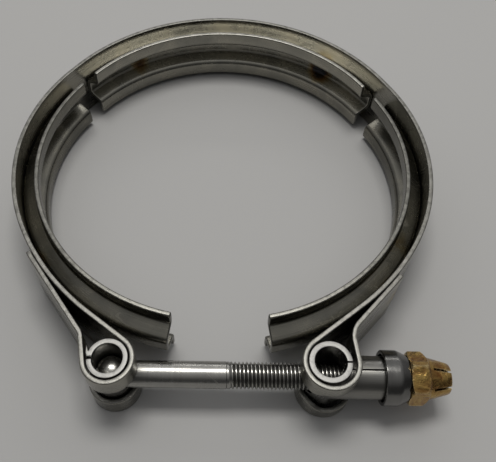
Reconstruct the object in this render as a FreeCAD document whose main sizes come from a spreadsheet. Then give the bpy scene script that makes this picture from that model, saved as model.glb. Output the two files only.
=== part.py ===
import FreeCAD, Part
import math
import os
import Sketcher
from FreeCAD import Placement, Rotation, Vector

# V-band clamp: a sprung strap with three grooved retainers, pulled together by a T-bolt.
# Millimetres. The origin is the centre of the back retainer's arc, in the middle plane of the
# groove, and +Z runs along the ring's axis. The bolt lies along X, on the -Y side of the ring.

os.makedirs("parts", exist_ok=True)

# ---------------------------------------------------------------- driving dimensions
SIZES = {
    # strap
    "band_width": 19.05,
    "band_thickness": 1.2,
    "ring_radius": 56.1,        # outer face of the strap
    "opening_flat": 2.76,       # straight stretch that the open clamp makes at each segment gap
    "segment_gap_angle": 32.6,  # from +X up to the middle of a gap between two retainers
    "segment_skew": 3.0,        # how far round the back retainer sits from the middle
    "segment_gap_half": 1.45,   # angle from the middle of a gap to the end of a retainer
    "segment_end_angle": 78.4,  # from +X down to the front end of a side retainer
    # strap ends
    "pin_spacing": 50.26,
    "pin_standoff": 6.5,        # from the ring's outer radius out to the line of the pins
    "bow_angle_left": 25.0,     # from X down to where the strap starts to leave the retainer
    "bow_angle_right": 30.0,
    "bow_share_left": 0.727,    # bow of the leg: 0 is a straight leg, 1 an arc right up to the loop
    "bow_share_right": 0.434,
    "loop_clearance_left": 0.3,
    "loop_clearance_right": 0.5,
    "kink_bend_left": 4.25,     # middle radius of the bend between a loop's outer leg and its tail
    "kink_bend_right": 6.0,
    "leg_length_left": 7.4,    # from the loop's round up to the corner of the kink
    "leg_length_right": 7.19,
    "tail_contact_left": 3.45,  # angle of tail that lies on the strap
    "tail_contact_right": 2.7,
    "leg_lean_left": 12.0,      # outer leg, outwards from +Y
    "leg_lean_right": -6.0,
    "weld_gap": 0.05,
    "weld_size": 4.0,
    "slot_clearance": 0.325,    # above and below the bolt
    "slot_reach": 2.6,          # how far a slot runs up the legs from the pin's line
    "window_clearance": 0.35,
    "window_taper_start": 0.75,  # shares of the loop's radius, inwards from the pin's line
    "window_taper_end": 0.1,
    # retainers
    "retainer_thickness": 1.3,
    "retainer_width": 16.5,
    "groove_mouth": 8.34,
    "groove_depth": 4.35,
    "flank_angle": 22.0,
    "retainer_bend": 1.25,      # middle radius of the bends
    # bolt
    "shank_radius": 3.175,
    "thread_relief": 0.025,     # how far the thread stands below the shank
    "thread_length": 51.3,
    "bolt_length": 78.2,        # from the head's axis to the tip
    "head_shoulder": 0.275,     # how far the head stands out beyond the shank
    "head_clearance": 0.05,
    "head_straight": 2.8,
    "head_dome": 1.7,
    # trunnions
    "trunnion_length": 19.0,
    "left_pin_wall": 1.15,
    "left_split_angle": 4.0,
    "left_mouth_play": 0.1,
    "left_lip_reach": 0.35,     # how far the turned-out lip stands beyond the tube
    "left_lip_height": 0.7,     # share of the tube's radius
    "right_pin_play": 0.375,    # radial, round the bolt
    "right_pin_wall": 1.4,
    "right_pin_draw": 0.35,     # how far the nut has drawn the tube off the loop's middle
    "sleeve_play": 0.52,        # radial, round the bolt
    "sleeve_wall": 1.305,
    "sleeve_length": 16.7,      # from the loop's middle
    "seam_width": 0.36,
    # collar
    "collar_play": 0.5,         # radial, round the sleeve
    "collar_wall": 0.9,
    "collar_bore_play": 0.3,
    "collar_depth": 4.45,
    "collar_base": 1.5,
    "collar_soft_length": 2.4,
    "collar_soft_depth": 1.1,
    "collar_shoulder": 0.6,
    "collar_end_gap": 0.3,
    # lock nut
    "nut_bore_play": 0.06,
    "nut_seat_gap": 0.03,
    "nut_turn": -6.6,           # how far the nut is turned from a flat facing +Y
    "hex_wall": 2.14,           # from the bore to a flat
    "hex_length": 3.6,
    "crown_start": 4.55,
    "crown_base_wall": 1.69,
    "crown_tip_wall": 0.32,
    "nut_length": 9.65,
    "crown_slot_width": 0.6,
    "crown_slot_start": 5.3,
    "crown_slot_count": 6,
    # sizes that follow from those above
    "slot_height": "=2 * (shank_radius + slot_clearance)",
    "thread_radius": "=shank_radius - thread_relief",
    "head_radius": "=shank_radius + head_shoulder",
    "left_pin_radius": "=head_radius + head_clearance + left_pin_wall",
    "right_pin_bore": "=shank_radius + right_pin_play",
    "right_pin_radius": "=right_pin_bore + right_pin_wall",
    "sleeve_bore": "=shank_radius + sleeve_play",
    "sleeve_radius": "=sleeve_bore + sleeve_wall",
    "collar_bore": "=sleeve_radius + collar_play",
    "collar_radius": "=collar_bore + collar_wall",
    "nut_bore": "=thread_radius + nut_bore_play",
    "hex_flats": "=2 * (nut_bore + hex_wall)",
    "crown_base_radius": "=nut_bore + crown_base_wall",
    "crown_tip_radius": "=nut_bore + crown_tip_wall",
}

doc = FreeCAD.newDocument("v_band_clamp")
sheet = doc.addObject("Spreadsheet::Sheet", "sizes")
for row, (name, value) in enumerate(SIZES.items(), start=1):
    sheet.set(f"A{row}", name.replace("_", " "))
    sheet.set(f"B{row}", str(value))
    sheet.setAlias(f"B{row}", name)
doc.recompute()


def size(name):
    """Return one driving dimension from the sheet."""
    return float(getattr(sheet, name))


# ---------------------------------------------------------------- sizes that follow from them
PIN_X = size("pin_spacing") / 2
PIN_Y = -(size("ring_radius") + size("pin_standoff"))
STRAP_RADIUS = size("ring_radius") - size("band_thickness") / 2
RETAINER_RADIUS = size("ring_radius") - size("band_thickness") - size("weld_gap")
SLEEVE_END = PIN_X + size("sleeve_length")
COLLAR_FLOOR = SLEEVE_END + size("collar_end_gap")
NUT_SEAT = COLLAR_FLOOR + size("collar_base") + size("nut_seat_gap")


def gap_angle(side):
    """Return the angle of a gap's middle, from +X (side 1) or -X (side -1) up towards +Y."""
    return size("segment_gap_angle") - side * size("segment_skew")


def side_centre(side):
    """Return the arc centre of a side retainer, moved along the flat at the gap."""
    angle = math.radians(gap_angle(side))
    flat = size("opening_flat")
    return Vector(side * flat * math.sin(angle), -flat * math.cos(angle), 0)


# ---------------------------------------------------------------- plane geometry
def polar(centre, radius, degrees):
    """Return the point at a radius and an angle about a centre."""
    angle = math.radians(degrees)
    return centre + Vector(radius * math.cos(angle), radius * math.sin(angle), 0)


def line(start, end):
    """Return a straight stretch of a path."""
    return {"start": start, "end": end}


def arc(centre, radius, first, last):
    """Return a round stretch of a path, from one angle to another in degrees."""
    return {
        "centre": centre,
        "radius": radius,
        "first": first,
        "last": last,
        "start": polar(centre, radius, first),
        "end": polar(centre, radius, last),
    }


def reverse(path):
    """Return the same path run backwards."""
    turned = []
    for piece in reversed(path):
        if "centre" in piece:
            turned.append(arc(piece["centre"], piece["radius"], piece["last"], piece["first"]))
        else:
            turned.append(line(piece["end"], piece["start"]))
    return turned


def mirror_x(path):
    """Return the path mirrored in the plane x = 0."""
    mirrored = []
    for piece in path:
        if "centre" in piece:
            centre = Vector(-piece["centre"].x, piece["centre"].y, 0)
            mirrored.append(arc(centre, piece["radius"], 180 - piece["first"], 180 - piece["last"]))
        else:
            start, end = piece["start"], piece["end"]
            mirrored.append(line(Vector(-start.x, start.y, 0), Vector(-end.x, end.y, 0)))
    return mirrored


def shift(path, left):
    """Return the path moved to its left by a distance."""
    moved = []
    for piece in path:
        if "centre" in piece:
            turn = math.copysign(1, piece["last"] - piece["first"])
            moved.append(arc(piece["centre"], piece["radius"] - turn * left, piece["first"], piece["last"]))
        else:
            run = piece["end"] - piece["start"]
            aside = Vector(-run.y, run.x, 0).normalize() * left
            moved.append(line(piece["start"] + aside, piece["end"] + aside))
    return moved


def strip_outline(path, thickness):
    """Return the closed outline of a strip of even thickness that follows a path."""
    near = shift(path, thickness / 2)
    far = reverse(shift(path, -thickness / 2))
    cap_end = line(near[-1]["end"], far[0]["start"])
    cap_start = line(far[-1]["end"], near[0]["start"])
    return near + [cap_end] + far + [cap_start]


def rounded(points, closed):
    """Return a path through (x, y, corner radius) points, each corner an arc."""
    corners = [(Vector(x, y, 0), radius) for x, y, radius in points]
    count = len(corners)
    pieces = []
    joints = []
    for index, (corner, radius) in enumerate(corners):
        if radius == 0 or (not closed and index in (0, count - 1)):
            joints.append((corner, corner, None))
            continue
        before = (corners[index - 1][0] - corner).normalize()
        after = (corners[(index + 1) % count][0] - corner).normalize()
        half = before.getAngle(after) / 2
        reach = radius / math.tan(half)
        centre = corner + (before + after).normalize() * (radius / math.sin(half))
        start = corner + before * reach
        end = corner + after * reach
        first = math.degrees(math.atan2(start.y - centre.y, start.x - centre.x))
        last = math.degrees(math.atan2(end.y - centre.y, end.x - centre.x))
        sweep = (last - first + 180) % 360 - 180
        joints.append((start, end, arc(centre, radius, first, first + sweep)))
    for index in range(count):
        bend = joints[index][2]
        if bend:
            pieces.append(bend)
        if index == count - 1 and not closed:
            break
        pieces.append(line(joints[index][1], joints[(index + 1) % count][0]))
    return pieces


# ---------------------------------------------------------------- document helpers
def new_body(name):
    """Add a body whose label is the name of its piece."""
    body = doc.addObject("PartDesign::Body", name)
    body.Label = name
    return body


def origin_feature(body, role):
    """Return one of the body's own origin planes or axes."""
    return next(item for item in body.Origin.OriginFeatures if item.Role == role)


def new_sketch(body, name, role="XY_Plane", lift=0.0):
    """Add a sketch on one of the body's origin planes, lifted along the plane's normal."""
    sketch = body.newObject("Sketcher::SketchObject", f"{body.Name}_{name}")
    sketch.AttachmentSupport = [(origin_feature(body, role), "")]
    sketch.MapMode = "FlatFace"
    sketch.AttachmentOffset = Placement(Vector(0, 0, lift), Rotation())
    return sketch


def draw(sketch, outline):
    """Draw an outline of straight and round stretches in a sketch."""
    for piece in outline:
        if "centre" not in piece:
            sketch.addGeometry(Part.LineSegment(piece["start"], piece["end"]), False)
            continue
        circle = Part.Circle(piece["centre"], Vector(0, 0, 1), piece["radius"])
        low, high = sorted((math.radians(piece["first"]), math.radians(piece["last"])))
        sketch.addGeometry(Part.ArcOfCircle(circle, low, high), False)


def draw_circle(sketch, expression, centre=Vector(0, 0, 0)):
    """Draw a circle whose radius follows an expression of the sheet."""
    index = sketch.addGeometry(Part.Circle(centre, Vector(0, 0, 1), 1.0), False)
    constraint = sketch.addConstraint(Sketcher.Constraint("Radius", index, 1.0))
    sketch.setExpression(f"Constraints[{constraint}]", expression)
    sketch.addConstraint(Sketcher.Constraint("DistanceX", index, 3, centre.x))
    sketch.addConstraint(Sketcher.Constraint("DistanceY", index, 3, centre.y))


def draw_box(sketch, low_x, low_y, high_x, high_y):
    """Draw a rectangle from its low corner to its high corner."""
    corners = [(low_x, low_y, 0), (high_x, low_y, 0), (high_x, high_y, 0), (low_x, high_y, 0)]
    draw(sketch, rounded(corners, closed=True))


def pad(body, name, sketch, length, both_ways=False, reversed_way=False):
    """Add material along the sketch's normal over a length given by an expression."""
    feature = body.newObject("PartDesign::Pad", f"{body.Name}_{name}")
    feature.Profile = sketch
    feature.setExpression("Length", length)
    feature.SideType = "Symmetric" if both_ways else "One side"
    feature.Reversed = reversed_way
    return feature


def pocket(body, name, sketch, length, both_ways=False, reversed_way=False):
    """Take material away against the sketch's normal over a length given by an expression."""
    doc.recompute()
    before = body.Shape.Volume
    feature = body.newObject("PartDesign::Pocket", f"{body.Name}_{name}")
    feature.Profile = sketch
    feature.setExpression("Length", length)
    feature.SideType = "Symmetric" if both_ways else "One side"
    feature.Reversed = reversed_way
    doc.recompute()
    if body.Shape.Volume >= before:
        raise RuntimeError(f"{feature.Name} took nothing away")
    return feature


def revolve(body, name, sketch, axis, angle="360"):
    """Turn the sketch about one of the body's origin axes."""
    feature = body.newObject("PartDesign::Revolution", f"{body.Name}_{name}")
    feature.Profile = sketch
    feature.ReferenceAxis = (origin_feature(body, axis), [""])
    feature.setExpression("Angle", angle)
    return feature


# ---------------------------------------------------------------- strap
def bow(side):
    """Return the centre and middle radius of the wider arc that the strap takes off the retainer."""
    word = "right" if side > 0 else "left"
    centre = Vector(abs(side_centre(side).x), side_centre(side).y, 0)
    start = -size(f"bow_angle_{word}")
    to_pin = Vector(PIN_X, PIN_Y, 0) - centre
    touching = STRAP_RADIUS + loop_radius(side)
    most = (to_pin.dot(to_pin) - touching ** 2) / (2 * (touching - to_pin.dot(polar(Vector(0, 0, 0), 1, start))))
    rise = most * size(f"bow_share_{word}")
    return polar(centre, -rise, start), STRAP_RADIUS + rise


def tangent_angle(side):
    """Return the angle below X at which a leg leaves its bow, tangent to bow and loop."""
    centre, radius = bow(side)
    across = PIN_X - centre.x
    down = PIN_Y - centre.y
    distance = math.hypot(across, down)
    lean = math.degrees(math.acos((radius + loop_radius(side)) / distance))
    return -math.degrees(math.atan2(down, across)) - lean


def pin_radius(side):
    """Return the outer radius of a side's trunnion tube."""
    return size("right_pin_radius") if side > 0 else size("left_pin_radius")


def loop_radius(side):
    """Return the middle radius of the strap's loop round a trunnion."""
    word = "right" if side > 0 else "left"
    return pin_radius(side) + size(f"loop_clearance_{word}") + size("band_thickness") / 2


def wrap_end(side):
    """Return the point where a loop's outer leg leaves its round."""
    word = "right" if side > 0 else "left"
    return polar(Vector(PIN_X, PIN_Y, 0), loop_radius(side), -size(f"leg_lean_{word}"))


def kink_corner(side):
    """Return the corner between a loop's outer leg and its tail."""
    word = "right" if side > 0 else "left"
    return polar(wrap_end(side), size(f"leg_length_{word}"), 90 - size(f"leg_lean_{word}"))


def tail_radius(side):
    """Return the middle radius of the tail where it lies on the strap."""
    return bow(side)[1] + size("weld_gap") + size("band_thickness")


def tail_angle(side):
    """Return the angle below X, about the bow's centre, where the tail comes down on the strap."""
    away = kink_corner(side) - bow(side)[0]
    return -math.degrees(math.atan2(away.y, away.x) + math.acos(tail_radius(side) / away.Length))


def side_path(side):
    """Return the strap's middle line from the back of the ring to a tail's end, on the +X side."""
    word = "right" if side > 0 else "left"
    gap = gap_angle(side)
    centre = Vector(abs(side_centre(side).x), side_centre(side).y, 0)
    bow_centre, bow_radius = bow(side)
    leave = tangent_angle(side)
    pin = Vector(PIN_X, PIN_Y, 0)
    lean = size(f"leg_lean_{word}")
    lift = tail_angle(side)

    back = arc(Vector(0, 0, 0), STRAP_RADIUS, 90, gap)
    side_arc = arc(centre, STRAP_RADIUS, gap, -size(f"bow_angle_{word}"))
    bow_arc = arc(bow_centre, bow_radius, -size(f"bow_angle_{word}"), -leave)
    wrap = arc(pin, loop_radius(side), 180 - leave, 360 - lean)
    tail_arc = arc(bow_centre, tail_radius(side), -lift, size(f"tail_contact_{word}") - lift)
    kink = kink_corner(side)
    corner = rounded(
        [
            (wrap["end"].x, wrap["end"].y, 0),
            (kink.x, kink.y, size(f"kink_bend_{word}")),
            (tail_arc["start"].x, tail_arc["start"].y, 0),
        ],
        closed=False,
    )
    ring = [back, line(back["end"], side_arc["start"]), side_arc, bow_arc]
    return ring + [line(bow_arc["end"], wrap["start"]), wrap] + corner + [tail_arc]


def weld_patch(side):
    """Return the outline of the weld that joins a tail to the strap."""
    word = "right" if side > 0 else "left"
    centre, low = bow(side)
    high = low + size("band_thickness")
    spread = math.degrees(size("weld_size") / 2 / low)
    middle = size(f"tail_contact_{word}") / 2 - tail_angle(side) - spread
    inner = arc(centre, low, middle - spread, middle + spread)
    outer = arc(centre, high, middle + spread, middle - spread)
    return [inner, line(inner["end"], outer["start"]), outer, line(outer["end"], inner["start"])]


def make_band():
    """Build the strap: one strip from tail to tail, slotted where the bolt goes through."""
    body = new_body("band")
    right = side_path(1)
    left = mirror_x(side_path(-1))
    back = arc(Vector(0, 0, 0), STRAP_RADIUS, left[0]["last"], right[0]["last"])
    path = reverse(left[1:]) + [back] + right[1:]
    outline = new_sketch(body, "outline")
    draw(outline, strip_outline(path, size("band_thickness")))
    pad(body, "strip", outline, "sizes.band_width", both_ways=True)

    welds = new_sketch(body, "weld_outline")
    draw(welds, weld_patch(1))
    draw(welds, mirror_x(weld_patch(-1)))
    pad(body, "welds", welds, "sizes.weld_size", both_ways=True)

    slots = new_sketch(body, "slot_outline")
    for side in (1, -1):
        reach = loop_radius(side) + size("band_thickness")
        low_x, high_x = sorted((side * PIN_X - reach, side * PIN_X + reach))
        draw_box(slots, low_x, PIN_Y - reach, high_x, PIN_Y + size("slot_reach"))
    pocket(body, "slots", slots, "sizes.slot_height", both_ways=True)

    # Round ends of the slots, in the four legs at once.
    ends = new_sketch(body, "slot_end_outline", "YZ_Plane")
    draw_circle(ends, "sizes.slot_height / 2", Vector(PIN_Y + size("slot_reach"), 0, 0))
    width = 2 * (PIN_X + loop_radius(1) + size("band_thickness"))
    pocket(body, "slot_ends", ends, f"{width}", both_ways=True)

    # The right loop opens wider on its outer side, where the trunnion's sleeve comes through.
    front = loop_radius(1) + size("band_thickness")
    half = size("sleeve_radius") + size("window_clearance")
    flare = new_sketch(body, "flare_outline", "XZ_Plane", lift=front - PIN_Y)
    narrow = size("slot_height") / 2 - 0.01
    near_x = PIN_X - loop_radius(1) * size("window_taper_start")
    wide_x = PIN_X - loop_radius(1) * size("window_taper_end")
    draw(flare, rounded(
        [
            (near_x, -narrow, 0),
            (wide_x, -half, 2.0),
            (PIN_X + front, -half, 0),
            (PIN_X + front, half, 0),
            (wide_x, half, 2.0),
            (near_x, narrow, 0),
        ],
        closed=True,
    ))
    pocket(body, "flare", flare, f"{front}")
    window = new_sketch(body, "window_outline")
    draw_box(window, PIN_X + pin_radius(1) / 2, PIN_Y - 1, PIN_X + front, PIN_Y + half)
    pocket(body, "window", window, f"{2 * half}", both_ways=True)
    return body


# ---------------------------------------------------------------- retainers
def retainer_profile():
    """Return the outline of the hat section, radius along x and height along y."""
    wall = size("retainer_thickness")
    crest = RETAINER_RADIUS - wall / 2
    foot = crest - size("groove_depth")
    mouth = size("groove_mouth") / 2
    crest_half = mouth - size("groove_depth") * math.tan(math.radians(size("flank_angle")))
    end = size("retainer_width") / 2
    bend = size("retainer_bend")
    path = rounded(
        [
            (foot, end, 0),
            (foot, mouth, bend),
            (crest, crest_half, bend),
            (crest, -crest_half, bend),
            (foot, -mouth, bend),
            (foot, -end, 0),
        ],
        closed=False,
    )
    return strip_outline(path, wall)


def make_retainer(name, centre, first, last):
    """Build one retainer, turned about its arc centre from one angle to another."""
    body = new_body(name)
    profile = new_sketch(body, "profile", "XZ_Plane")
    draw(profile, retainer_profile())
    revolve(body, "ring", profile, "Z_Axis", f"{last - first}")
    body.Placement = Placement(centre, Rotation(Vector(0, 0, 1), first))
    return body


def make_retainers():
    """Build the back retainer and the two side retainers."""
    half = size("segment_gap_half")
    front = -size("segment_end_angle")
    right_gap, left_gap = gap_angle(1), 180 - gap_angle(-1)
    make_retainer("retainer_back", Vector(0, 0, 0), right_gap + half, left_gap - half)
    make_retainer("retainer_right", side_centre(1), front, right_gap - half)
    make_retainer("retainer_left", side_centre(-1), left_gap + half, 180 - front)


# ---------------------------------------------------------------- trunnions
def make_trunnion_left():
    """Build the rolled tube that holds the bolt's head, split on its outer side."""
    body = new_body("trunnion_left")
    radius = size("left_pin_radius")
    wall = size("left_pin_wall")
    split = size("left_split_angle")
    tube = new_sketch(body, "tube_outline")
    draw(tube, strip_outline([arc(Vector(0, 0, 0), radius - wall / 2, -180 + split, 180 - split)], wall))
    pad(body, "tube", tube, "sizes.trunnion_length", both_ways=True)

    # One edge of the sheet is turned out into a thin lip that stands in the open strap loop.
    root = polar(Vector(0, 0, 0), radius - 0.1, 180 - split)
    heel = polar(Vector(0, 0, 0), radius - 0.1, 162)
    reach = size("left_lip_reach")
    lip = new_sketch(body, "lip_outline")
    draw(lip, rounded(
        [
            (root.x + wall * 0.7, root.y, 0),
            (root.x, root.y, 0.2),
            (-radius - reach, radius * 0.25, 0),
            (-radius - reach, radius * size("left_lip_height"), 0),
            (heel.x, heel.y, 0),
        ],
        closed=True,
    ))
    pad(body, "lip", lip, "sizes.trunnion_length", both_ways=True)

    mouth = new_sketch(body, "mouth_outline", "YZ_Plane")
    draw_circle(mouth, "sizes.shank_radius + sizes.left_mouth_play")
    pocket(body, "mouth", mouth, "sizes.left_pin_radius + 1", reversed_way=True)
    body.Placement.Base = Vector(-PIN_X, PIN_Y, 0)
    return body


def make_trunnion_right():
    """Build the folded sheet: a tube for the loop that runs out into a split sleeve."""
    body = new_body("trunnion_right")
    tube = new_sketch(body, "tube_outline")
    draw_circle(tube, "sizes.right_pin_radius")
    pad(body, "tube", tube, "sizes.trunnion_length", both_ways=True)

    sleeve = new_sketch(body, "sleeve_outline", "YZ_Plane")
    draw_circle(sleeve, "sizes.sleeve_radius")
    pad(body, "sleeve", sleeve, "sizes.sleeve_length + sizes.right_pin_draw")

    bore = new_sketch(body, "bore_outline")
    draw_circle(bore, "sizes.right_pin_bore")
    pocket(body, "bore", bore, "sizes.trunnion_length + 1", both_ways=True)

    way = new_sketch(body, "way_outline", "YZ_Plane")
    draw_circle(way, "sizes.sleeve_bore")
    pocket(body, "way", way, "2 * sizes.sleeve_length + 1", both_ways=True)

    seam = new_sketch(body, "seam_outline")
    half = size("seam_width") / 2
    draw_box(seam, 0, -half, size("sleeve_length") + 1, half)
    pocket(body, "seam", seam, "sizes.trunnion_length + 1", both_ways=True)
    body.Placement.Base = Vector(PIN_X - size("right_pin_draw"), PIN_Y, 0)
    return body


# ---------------------------------------------------------------- bolt, collar and nut
def make_t_bolt():
    """Build the T-bolt: a domed barrel head across a round shank with a threaded end."""
    body = new_body("t_bolt")
    straight = size("head_straight")
    dome = size("head_dome")
    dome_radius = (size("head_radius") ** 2 + dome ** 2) / (2 * dome)
    top = straight + dome
    low = math.degrees(math.asin((dome_radius - dome) / dome_radius))
    upper = arc(Vector(0, top - dome_radius, 0), dome_radius, 90, low)
    lower = arc(Vector(0, dome_radius - top, 0), dome_radius, -low, -90)
    head = new_sketch(body, "head_outline", "XZ_Plane")
    draw(head, [upper, line(upper["end"], lower["start"]), lower, line(lower["end"], upper["start"])])
    revolve(body, "head", head, "Z_Axis")

    shank = size("shank_radius")
    thread = size("thread_radius")
    tip = size("bolt_length")
    start = tip - size("thread_length")
    chamfer = shank / 5
    rod = new_sketch(body, "rod_outline", "XZ_Plane")
    draw(rod, rounded(
        [
            (0, 0, 0),
            (tip, 0, 0),
            (tip, thread - chamfer, 0),
            (tip - chamfer, thread, 0),
            (start, thread, 0),
            (start - (shank - thread), shank, 0),
            (0, shank, 0),
        ],
        closed=True,
    ))
    revolve(body, "rod", rod, "X_Axis")
    body.Placement.Base = Vector(-PIN_X, PIN_Y, 0)
    return body


def make_collar():
    """Build the drawn cup that closes over the sleeve's end and takes the nut."""
    body = new_body("collar")
    outer = size("collar_radius")
    inner = size("collar_bore")
    hole = size("shank_radius") + size("collar_bore_play")
    neck = outer - size("collar_soft_depth")
    depth = size("collar_depth")
    base = size("collar_base")
    profile = new_sketch(body, "profile", "XZ_Plane")
    draw(profile, rounded(
        [
            (-depth, inner, 0),
            (-depth, outer, 0.3),
            (base - size("collar_soft_length"), outer, 2.0),
            (base, neck, size("collar_shoulder")),
            (base, hole, 0),
            (0, hole, 0),
            (0, inner, 0),
        ],
        closed=True,
    ))
    revolve(body, "cup", profile, "X_Axis")
    body.Placement.Base = Vector(COLLAR_FLOOR, PIN_Y, 0)
    return body


def make_lock_nut():
    """Build the lock nut: a short hex with a slotted tapered crown that grips the thread."""
    body = new_body("lock_nut")
    flats = size("hex_flats")
    corner = flats / math.sqrt(3)
    across = new_sketch(body, "hex_outline", "YZ_Plane")
    corners = [polar(Vector(0, 0, 0), corner, 30 + 60 * index) for index in range(6)]
    draw(across, rounded([(point.x, point.y, 0) for point in corners], closed=True))
    pad(body, "hex", across, "sizes.crown_start")

    # Round blank that the hex is turned down to, at its seat and towards the crown.
    seat_bevel = (corner - flats / 2) * math.tan(math.radians(30))
    blank_end = size("crown_start")
    waste = new_sketch(body, "bevel_outline", "XZ_Plane")
    rim = corner + 1
    draw(waste, rounded([(0, flats / 2, 0), (seat_bevel, corner, 0), (seat_bevel, rim, 0), (-1, rim, 0),
                         (-1, flats / 2, 0)], closed=True))
    draw(waste, rounded([(size("hex_length"), corner, 0), (blank_end, size("crown_base_radius"), 0),
                         (blank_end + 1, size("crown_base_radius"), 0), (blank_end + 1, rim, 0),
                         (size("hex_length"), rim, 0)], closed=True))
    groove = body.newObject("PartDesign::Groove", "lock_nut_bevels")
    groove.Profile = waste
    groove.ReferenceAxis = (origin_feature(body, "X_Axis"), [""])
    groove.setExpression("Angle", "360")

    crown = new_sketch(body, "crown_outline", "XZ_Plane")
    draw(crown, rounded(
        [
            (size("crown_start") / 2, 0, 0),
            (size("nut_length"), 0, 0),
            (size("nut_length"), size("crown_tip_radius"), 0.35),
            (size("crown_start"), size("crown_base_radius"), 0),
            (size("crown_start") / 2, size("crown_base_radius"), 0),
        ],
        closed=True,
    ))
    revolve(body, "crown", crown, "X_Axis")

    bore = new_sketch(body, "bore_outline", "YZ_Plane")
    draw_circle(bore, "sizes.thread_radius + sizes.nut_bore_play")
    pocket(body, "bore", bore, "sizes.nut_length + 1", reversed_way=True)

    slot = new_sketch(body, "slot_outline", "XZ_Plane")
    draw_box(slot, size("crown_slot_start"), 0, size("nut_length") + 1, size("crown_base_radius") + 1)
    cut = pocket(body, "slot", slot, "sizes.crown_slot_width", both_ways=True)
    slots = body.newObject("PartDesign::PolarPattern", "lock_nut_slots")
    slots.Originals = [cut]
    slots.Axis = (origin_feature(body, "X_Axis"), [""])
    slots.Angle = 360
    slots.setExpression("Occurrences", "sizes.crown_slot_count")
    body.Tip = slots
    body.Placement = Placement(Vector(NUT_SEAT, PIN_Y, 0), Rotation(Vector(1, 0, 0), size("nut_turn")))
    return body


# ---------------------------------------------------------------- build, check and write
make_band()
make_retainers()
make_trunnion_left()
make_trunnion_right()
make_t_bolt()
make_collar()
make_lock_nut()
doc.recompute()

for item in doc.Objects:
    if "Invalid" in item.State or "Error" in item.State:
        raise RuntimeError(f"{item.Name} failed: {item.State}")

for item in doc.Objects:
    if item.TypeId != "PartDesign::Body":
        continue
    if item.Shape.isNull() or not item.Shape.isValid() or len(item.Shape.Solids) != 1:
        raise RuntimeError(f"{item.Label} is not one sound solid")
    item.Shape.exportStep(f"parts/{item.Label}.step")
    print(item.Label, round(item.Shape.Volume, 1))
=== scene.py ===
"""Looks of the V-band clamp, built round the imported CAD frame.

Sizes in the classes are millimetres, as in the CAD, and turn into metres when a mesh is made.
The ring lies flat, its axis is Z, and the bolt runs along X on the -Y side.
"""

import logging
import math
from abc import ABC, abstractmethod
from dataclasses import dataclass
from enum import Enum
from functools import lru_cache
from itertools import accumulate
from typing import Callable, ClassVar, Iterable, Optional, Sequence

import bmesh
import bpy
from mathutils import Matrix, Vector


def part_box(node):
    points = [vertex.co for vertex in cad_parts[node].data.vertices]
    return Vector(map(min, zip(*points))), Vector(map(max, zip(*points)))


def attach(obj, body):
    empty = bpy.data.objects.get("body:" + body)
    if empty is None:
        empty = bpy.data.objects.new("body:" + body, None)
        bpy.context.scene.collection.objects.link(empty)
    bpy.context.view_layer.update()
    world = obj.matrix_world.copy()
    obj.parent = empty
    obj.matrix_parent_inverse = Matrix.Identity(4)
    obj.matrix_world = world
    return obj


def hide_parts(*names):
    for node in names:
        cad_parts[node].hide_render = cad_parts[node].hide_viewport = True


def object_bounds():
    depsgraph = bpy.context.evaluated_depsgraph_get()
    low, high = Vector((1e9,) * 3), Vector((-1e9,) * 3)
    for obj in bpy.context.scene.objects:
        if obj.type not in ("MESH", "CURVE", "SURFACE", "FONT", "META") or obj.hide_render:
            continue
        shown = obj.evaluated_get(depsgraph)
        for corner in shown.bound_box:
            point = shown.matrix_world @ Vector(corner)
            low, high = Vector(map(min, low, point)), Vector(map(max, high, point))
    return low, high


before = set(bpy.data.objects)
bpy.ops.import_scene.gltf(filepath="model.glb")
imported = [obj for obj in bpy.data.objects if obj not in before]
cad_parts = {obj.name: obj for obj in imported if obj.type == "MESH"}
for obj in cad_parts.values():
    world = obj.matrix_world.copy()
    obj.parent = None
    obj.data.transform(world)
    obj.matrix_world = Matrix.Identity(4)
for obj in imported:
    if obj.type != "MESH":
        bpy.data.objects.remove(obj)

CAD_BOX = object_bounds()
MM = 0.001
LOG = logging.getLogger("v_band_clamp")

# Distances in millimetres within which points of a mesh are the same point.
SAME_POINT = 1e-4
SAME_THREAD_POINT = 0.004

Point2 = tuple[float, float]


class Side(Enum):
    """The two ends of the strap."""

    LEFT = -1
    RIGHT = 1


class Join(Enum):
    """What a tool's shape does to a piece."""

    ADD = "UNION"
    CUT = "DIFFERENCE"


class Slot(Enum):
    """The material slots, one for each kind of piece."""

    STRAP = "strap_steel"
    RETAINER = "retainer_steel"
    TRUNNION = "trunnion_steel"
    BOLT = "bolt_steel"
    COLLAR = "collar_steel"
    NUT = "nut_brass"


# ---------------------------------------------------------------- plane geometry
def polar(centre: Point2, radius: float, degrees: float) -> Point2:
    """Return the point at a radius and an angle in degrees about a centre."""
    angle = math.radians(degrees)
    return centre[0] + radius * math.cos(angle), centre[1] + radius * math.sin(angle)


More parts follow.
